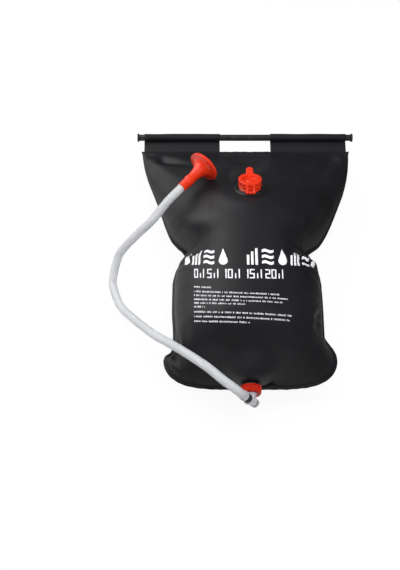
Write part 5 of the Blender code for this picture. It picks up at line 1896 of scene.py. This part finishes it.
class SHOWERBAG_OT_tap(bpy.types.Operator):
    """Make the elbow tap: clear body, black plug, grey key, barb and clip ring"""
    bl_idname = "showerbag.tap"
    bl_label = "Tap"

    def execute(self, context):
        self.body(outlet_matrix(), barrel_matrix())
        self.plug(barrel_matrix())
        self.key(barrel_matrix())
        self.barb(barrel_matrix())
        return {"FINISHED"}

    def body(self, place, barrel):
        """Clear elbow: flange in the nut, neck, and the barrel across its end."""
        low = washer_top() + FACE_GAP
        flange = SPIGOT_DIAMETER / 2
        front = nut_front() + TAP_STEP
        neck_end = TAP_REACH - TAP_BARREL_BORE / 3
        corners = [(0, low), (flange, low), (flange, tap_flange_top()), (TAP_FACE, tap_flange_top(), 0),
                   (TAP_FACE, nut_front() + TAP_SHOULDER, 0.0006), (TAP_NECK + TAP_SHOULDER, front, 0.0008),
                   (TAP_NECK, front + TAP_SHOULDER, 0.0008), (TAP_NECK, neck_end), (0, neck_end)]
        base = turned_mesh("tap_elbow", corners, 0.0003, place)
        radius, mouth = TAP_BARREL / 2, TAP_MOUTH / 2
        step = barrel_high() - TAP_MOUTH_WIDTH
        section = [(0, barrel_low()), (radius, barrel_low(), 0.0006),
                   (radius, step - mouth + radius, 0.0008), (mouth, step, 0.0005),
                   (mouth, barrel_high(), 0.0006), (0, barrel_high())]
        shell = turned_mesh("shell", section, 0.0006, barrel)
        hole = pillar("hole", TAP_BARREL_BORE / 2, -DRILL_REACH, DRILL_REACH, barrel)
        way = pillar("way", TAP_WAY, low - TAP_WAY_LEAD, neck_end, place)
        mesh = joined(base, ((shell, "UNION"), (hole, "DIFFERENCE"), (way, "DIFFERENCE")))
        add_piece("tap_elbow", mesh, "clear_plastic", "bag", ("tap_body",))

    def plug(self, barrel):
        """Black plug with its cross way and the round head under the barrel."""
        radius = TAP_BARREL_BORE / 2 - PLUG_PLAY
        rim = TAP_BARREL / 2
        top = barrel_high() - BARB_SPIGOT_DEPTH
        low = barrel_low() - FACE_GAP
        corners = [(0, low - PLUG_HEAD), (rim, low - PLUG_HEAD), (rim, low), (radius, low), (radius, top),
                   (0, top)]
        base = turned_mesh("cross_plug", corners, 0.0004, barrel)
        way = pillar("way", TAP_WAY, -rim, 0, barrel @ Matrix.Rotation(math.pi / 2, 4, "X"))
        mesh = joined(base, ((way, "DIFFERENCE"),))
        add_piece("cross_plug", mesh, "black_plastic", "key", ("tap_plug",))

    def key(self, barrel):
        """Wing key: a hub below the plug's head and a ribbed wing beside it."""
        top = barrel_low() - 2 * FACE_GAP - PLUG_HEAD
        low = top - KEY_HUB_HEIGHT
        base = pillar("wing_key", KEY_HUB, low, top, barrel, 0.0006)
        turn = Matrix.Rotation(KEY_REST_TURN, 4, "Z") @ Matrix.Rotation(-math.pi / 2, 4, "X")
        foot = barrel @ Matrix.Translation((0, 0, (top + low) / 2)) @ turn
        wing = mesh_from(slab(tongue(WING_WIDTH, WING_LENGTH), -WING_HALF, WING_HALF, 0.0009), "wing", foot)
        mesh = joined(base, ((wing, "UNION"), *grip_ribs(foot, **WING_RIBS)))
        add_piece("wing_key", mesh, "grey_plastic", "key", ("tap_key",))

    def barb(self, barrel):
        """Black barb: spigot in the barrel, grooved collar and toothed stem, and the hose's clip ring."""
        low = barrel_high() + FACE_GAP
        high = low + BARB_COLLAR_LENGTH
        rim = BARB_COLLAR / 2
        spigot = TAP_BARREL_BORE / 2 - FACE_GAP
        bore = spigot - BARB_WALL
        stem = HOSE_DIAMETER / 2 - HOSE_WALL - STEM_PLAY
        foot = barrel_high() - BARB_SPIGOT_DEPTH + FACE_GAP
        corners = [(bore, foot), (spigot, foot), (spigot, low, 0), (rim, low, 0.0007)]
        for step in range(3):
            corners += corners_from(rim, low + BARB_GROOVE_START + step * BARB_GROOVE_PITCH, BARB_GROOVE)
        corners += [(rim, high, 0.0007), (stem - STEM_NECK, high, 0)]
        for step in range(3):
            corners += corners_from(stem, high + STEM_TOOTH_START + step * STEM_TOOTH_PITCH, STEM_TOOTH)
        corners += [(stem - STEM_TIP, high + STEM_LENGTH, 0.0003), (bore, high + STEM_LENGTH)]
        turned_piece("barb_collar", corners, 0.0003, barrel, "black_plastic", "bag", "hose_barb")
        inside = HOSE_DIAMETER + 2 * FACE_GAP
        ring = ring_corners(inside + CLIP_WALLS, inside, high + FACE_GAP, high + FACE_GAP + CLIP_LENGTH)
        turned_piece("clip_ring", ring, 0.0004, barrel, "clear_plastic", "bag", "hose_clip")


# Shower head; SLEEVE_FOOT holds plain corners, and the other profiles' rows are those of corners_from

SLEEVE_BORE = 0.0055
SLEEVE_SPIGOT = 0.0068
SLEEVE_MOUTH = 0.0102
SLEEVE_FOOT = ((0.0088, 0, 0.0005), (0.0090, 0.0016, 0.0004), (0.0087, 0.0022, 0.0004))
SLEEVE_LIP = ((0.0005, 0.0046, 0.0004), (0, 0.0038, 0.0004), (0, 0, 0.0008))
SPIGOT_LENGTH = 0.0100
ORING_THICKNESS = 0.0016
ORING_PLACE = 0.0050
BELL_NECK = 0.0093
BELL_STEPS = 40
BELL_TURN_STEPS = 128
BELL_FLARE_POWER = 1.25
BELL_RIM_LENGTH = 0.0060
BELL_RIM = ((0, 0.0036, 0.0004), (0.0006, 0.0032, 0.0003), (0.0005, 0.0012, 0.0006), (0.0018, 0, 0.0010))
BELL_LIP = 0.0030
BELL_LEDGE = 0.0020
SEAT_DEPTH = 0.0048
PLATE_THICKNESS = 0.0018
PLATE_DISH = 0.0022
PLATE_DISH_SHARE = 0.75
PLATE_MARGIN = 0.004
HOLE_RINGS = 7
HOLES_PER_RING = 6
HOLE_MARGIN = 0.0008
HOLE_RADIUS = 0.00055
HOLE_SIDES = 10
HOLE_LENGTH = 0.014


class SHOWERBAG_OT_head(bpy.types.Operator):
    """Make the shower head: sleeve, O-ring, trumpet bell and pierced spray plate"""
    bl_idname = "showerbag.head"
    bl_label = "Shower Head"

    def execute(self, context):
        place = head_matrix()
        self.sleeve(place)
        self.bell(place)
        return {"FINISHED"}

    def sleeve(self, place):
        """Sleeve on the hose's end, its spigot with a groove, and the O-ring in the groove."""
        groove = SLEEVE_LENGTH + ORING_PLACE
        half = ORING_THICKNESS / 2
        bed = SLEEVE_SPIGOT - half
        low, high = groove - half - FACE_GAP, groove + half + FACE_GAP
        tip = SLEEVE_LENGTH + SPIGOT_LENGTH
        corners = [(SLEEVE_BORE, 0), *SLEEVE_FOOT,
                   *corners_from(SLEEVE_MOUTH, SLEEVE_LENGTH, SLEEVE_LIP, -1),
                   (SLEEVE_SPIGOT, SLEEVE_LENGTH, 0), (SLEEVE_SPIGOT, low, 0), (bed, low, 0), (bed, high, 0),
                   (SLEEVE_SPIGOT, high, 0), (SLEEVE_SPIGOT, tip, 0.0004), (SLEEVE_BORE, tip)]
        turned_piece("head_socket", corners, 0.0003, place, "red_plastic", "bag", "head_sleeve")
        inside, outside = bed + FACE_GAP, SLEEVE_SPIGOT + FACE_GAP / 2
        ring = ring_corners(2 * outside, 2 * inside, groove - half, groove + half)
        turned_piece("head_ring", ring, 0.0003, place, "white_rubber", "bag", "head_oring")

    def bell(self, place):
        """Trumpet bell that opens ever faster towards its rim, with a seat for the plate."""
        base = SLEEVE_LENGTH + FACE_GAP
        rim = BELL_DIAMETER / 2
        top = base + BELL_LENGTH
        corners = []
        for step in range(BELL_STEPS + 1):
            share = step / BELL_STEPS
            opening = (1 - math.sqrt(1 - share**2)) ** BELL_FLARE_POWER
            corners.append((BELL_NECK + (rim - BELL_NECK) * opening,
                            base + (BELL_LENGTH - BELL_RIM_LENGTH) * share, 0.0003))
        seat = rim - BELL_LIP
        seat_low = top - SEAT_DEPTH
        bore = SLEEVE_SPIGOT + 2 * FACE_GAP
        floor = base + SPIGOT_LENGTH + FACE_GAP
        corners += [*corners_from(rim, top, BELL_RIM, -1), (seat, top, 0.0005), (seat, seat_low),
                    (seat - BELL_LEDGE, seat_low), (bore + BELL_LEDGE, seat_low - BELL_LEDGE),
                    (bore, floor + BELL_LEDGE), (bore, base, 0.0003)]
        turned_piece("head_trumpet", corners, 0.0003, place, "red_plastic", "bell", "head_bell",
                     BELL_TURN_STEPS)
        self.plate(place, seat - FACE_GAP, seat_low + FACE_GAP)

    def plate(self, place, radius, low):
        """Dished plate with many fine spray holes."""
        high = low + PLATE_THICKNESS
        field = radius - PLATE_MARGIN
        fall = PLATE_DISH * PLATE_DISH_SHARE
        corners = [(0, low - PLATE_DISH), (radius / 2, low - fall, 0.003), (field, low, 0.001),
                   (radius, low), (radius, high), (field, high, 0.001), (radius / 2, high - fall, 0.003),
                   (0, high - PLATE_DISH)]
        base = turned_mesh("spray_disc", corners, 0.0004, None)
        bm = bmesh.new()
        pitch = (field - HOLE_MARGIN) / HOLE_RINGS
        for ring in range(1, HOLE_RINGS + 1):
            count = ring * HOLES_PER_RING
            for step in range(count):
                angle = math.tau * (step + 0.5 * (ring % 2)) / count
                middle = Vector((pitch * ring * math.cos(angle), pitch * ring * math.sin(angle), low))
                bmesh.ops.create_cone(bm, cap_ends=True, segments=HOLE_SIDES, radius1=HOLE_RADIUS,
                                      radius2=HOLE_RADIUS, depth=HOLE_LENGTH,
                                      matrix=Matrix.Translation(middle))
        mesh = joined(base, ((mesh_from(bm, "holes"), "DIFFERENCE"),))
        mesh.transform(place)
        add_piece("spray_disc", mesh, "pink_plastic", "bell", ("spray_plate",))


# Hose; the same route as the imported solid, in metres

HOSE_ROUTE = (
    (-0.0290, -0.2815, 0.1420), (-0.0510, -0.2685, 0.1520), (-0.0750, -0.2475, 0.1530),
    (-0.1000, -0.2255, 0.1450), (-0.1240, -0.2025, 0.1300), (-0.1480, -0.1775, 0.1080),
    (-0.1680, -0.1560, 0.0870), (-0.1910, -0.1275, 0.0630), (-0.2150, -0.0955, 0.0380),
    (-0.2380, -0.0615, 0.0170), (-0.2530, -0.0205, 0.0094), (-0.2545, 0.0015, 0.0120),
    (-0.2440, 0.0315, 0.0390), (-0.2290, 0.0405, 0.0640), (-0.2050, 0.0475, 0.0970),
    (-0.1800, 0.0555, 0.1270), (-0.1640, 0.0645, 0.1460), (-0.1490, 0.0765, 0.1620))


HOSE_SIDES = 40
CURVE_STEPS = 24


def curve_point(before, start, end, after, t):
    return 0.5 * (2 * start + (end - before) * t + (2 * before - 5 * start + 4 * end - after) * t**2
                  + (3 * start - before - 3 * end + after) * t**3)


def even_points(run, count):
    """Even steps along a smooth curve; the first and last points only steer its ends."""
    fine = [curve_point(*run[index - 1:index + 3], step / CURVE_STEPS)
            for index in range(1, len(run) - 2) for step in range(CURVE_STEPS)]
    fine = np.array([*fine, run[-2]])
    along = np.concatenate([[0], np.cumsum(np.linalg.norm(np.diff(fine, axis=0), axis=1))])
    places = np.linspace(0, along[-1], count)
    return [Vector([np.interp(place, along, fine[:, axis]) for axis in range(3)]) for place in places]


def hose_points(count):
    start = barrel_matrix() @ Vector((0, 0, barrel_high() + BARB_COLLAR_LENGTH + 2 * FACE_GAP))
    end = head_matrix() @ Vector((0, 0, -FACE_GAP))
    run = [start, start + TAP_AXIS * HOSE_STRAIGHT, *(Vector(point) for point in HOSE_ROUTE),
           end - HEAD_AXIS * HOSE_STRAIGHT, end]
    middle = even_points(run, count)
    lead = [start.lerp(middle[0], share) for share in (0, 0.5)]
    tail = [middle[-1].lerp(end, share) for share in (0.5, 1)]
    return lead + middle + tail


class SHOWERBAG_OT_hose(bpy.types.Operator):
    """Make the milky hose from the tap to the shower head"""
    bl_idname = "showerbag.hose"
    bl_label = "Hose"

    def execute(self, context):
        points = hose_points(context.scene.shower_hose.points)
        bm = bmesh.new()
        outer, inner = [], []
        normal = None
        for index, point in enumerate(points):
            ahead = points[min(index + 1, len(points) - 1)] - points[max(index - 1, 0)]
            tangent = ahead.normalized()
            if normal is None:
                normal = tangent.orthogonal().normalized()
            normal = (normal - tangent * normal.dot(tangent)).normalized()
            outer.append(self.ring(bm, point, HOSE_DIAMETER / 2, normal, tangent.cross(normal)))
            inner.append(self.ring(bm, point, HOSE_DIAMETER / 2 - HOSE_WALL, normal, tangent.cross(normal)))
        for rings in (outer, inner):
            for first, second in zip(rings, rings[1:]):
                strip(bm, first, second, True)
        strip(bm, outer[0], inner[0], True)
        strip(bm, outer[-1], inner[-1], True)
        hose = add_piece("hose_tube", mesh_from(bm, "hose_tube"), "milky_hose", "bag", ("hose",))
        return {"FINISHED"}

    def ring(self, bm, point, radius, normal, other):
        angles = [math.tau * side / HOSE_SIDES for side in range(HOSE_SIDES)]
        return [bm.verts.new(point + radius * (normal * math.cos(angle) + other * math.sin(angle)))
                for angle in angles]


# Panel and registration


class SHOWERBAG_PT_panel(bpy.types.Panel):
    bl_idname = "SHOWERBAG_PT_panel"
    bl_label = "Shower Bag"
    bl_space_type = "VIEW_3D"
    bl_region_type = "UI"
    bl_category = "Shower Bag"

    def draw(self, context):
        scene = context.scene
        for title, settings, operators in (
                ("Stage", scene.shower_stage, ("stage",)),
                ("Film", scene.shower_film, ("film", "marks", "hanger")),
                ("Fittings", scene.shower_fittings, ("filler", "outlet", "tap", "head")),
                ("Hose", scene.shower_hose, ("hose",))):
            box = self.layout.box()
            box.label(text=title)
            for name in settings.__annotations__:
                box.prop(settings, name)
            for operator in operators:
                box.operator("showerbag." + operator)


SETTINGS = {
    "shower_film": FilmSettings,
    "shower_fittings": FittingSettings,
    "shower_hose": HoseSettings,
    "shower_stage": StageSettings,
}

CLASSES = (
    *SETTINGS.values(),
    SHOWERBAG_OT_stage,
    SHOWERBAG_OT_film,
    SHOWERBAG_OT_marks,
    SHOWERBAG_OT_hanger,
    SHOWERBAG_OT_filler,
    SHOWERBAG_OT_outlet,
    SHOWERBAG_OT_tap,
    SHOWERBAG_OT_head,
    SHOWERBAG_OT_hose,
    SHOWERBAG_PT_panel,
)


def register():
    for item in CLASSES:
        bpy.utils.register_class(item)
    for name, group in SETTINGS.items():
        setattr(bpy.types.Scene, name, PointerProperty(type=group))


def unregister():
    for name in SETTINGS:
        delattr(bpy.types.Scene, name)
    for item in reversed(CLASSES):
        bpy.utils.unregister_class(item)


def main():
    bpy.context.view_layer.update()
    register()
    bpy.ops.showerbag.stage()
    bpy.ops.showerbag.tap()
    bpy.ops.showerbag.head()
    bpy.ops.showerbag.hose()
    bpy.ops.showerbag.film()
    bpy.ops.showerbag.marks()
    bpy.ops.showerbag.hanger()
    bpy.ops.showerbag.filler()
    bpy.ops.showerbag.outlet()


if __name__ == "__main__":
    main()
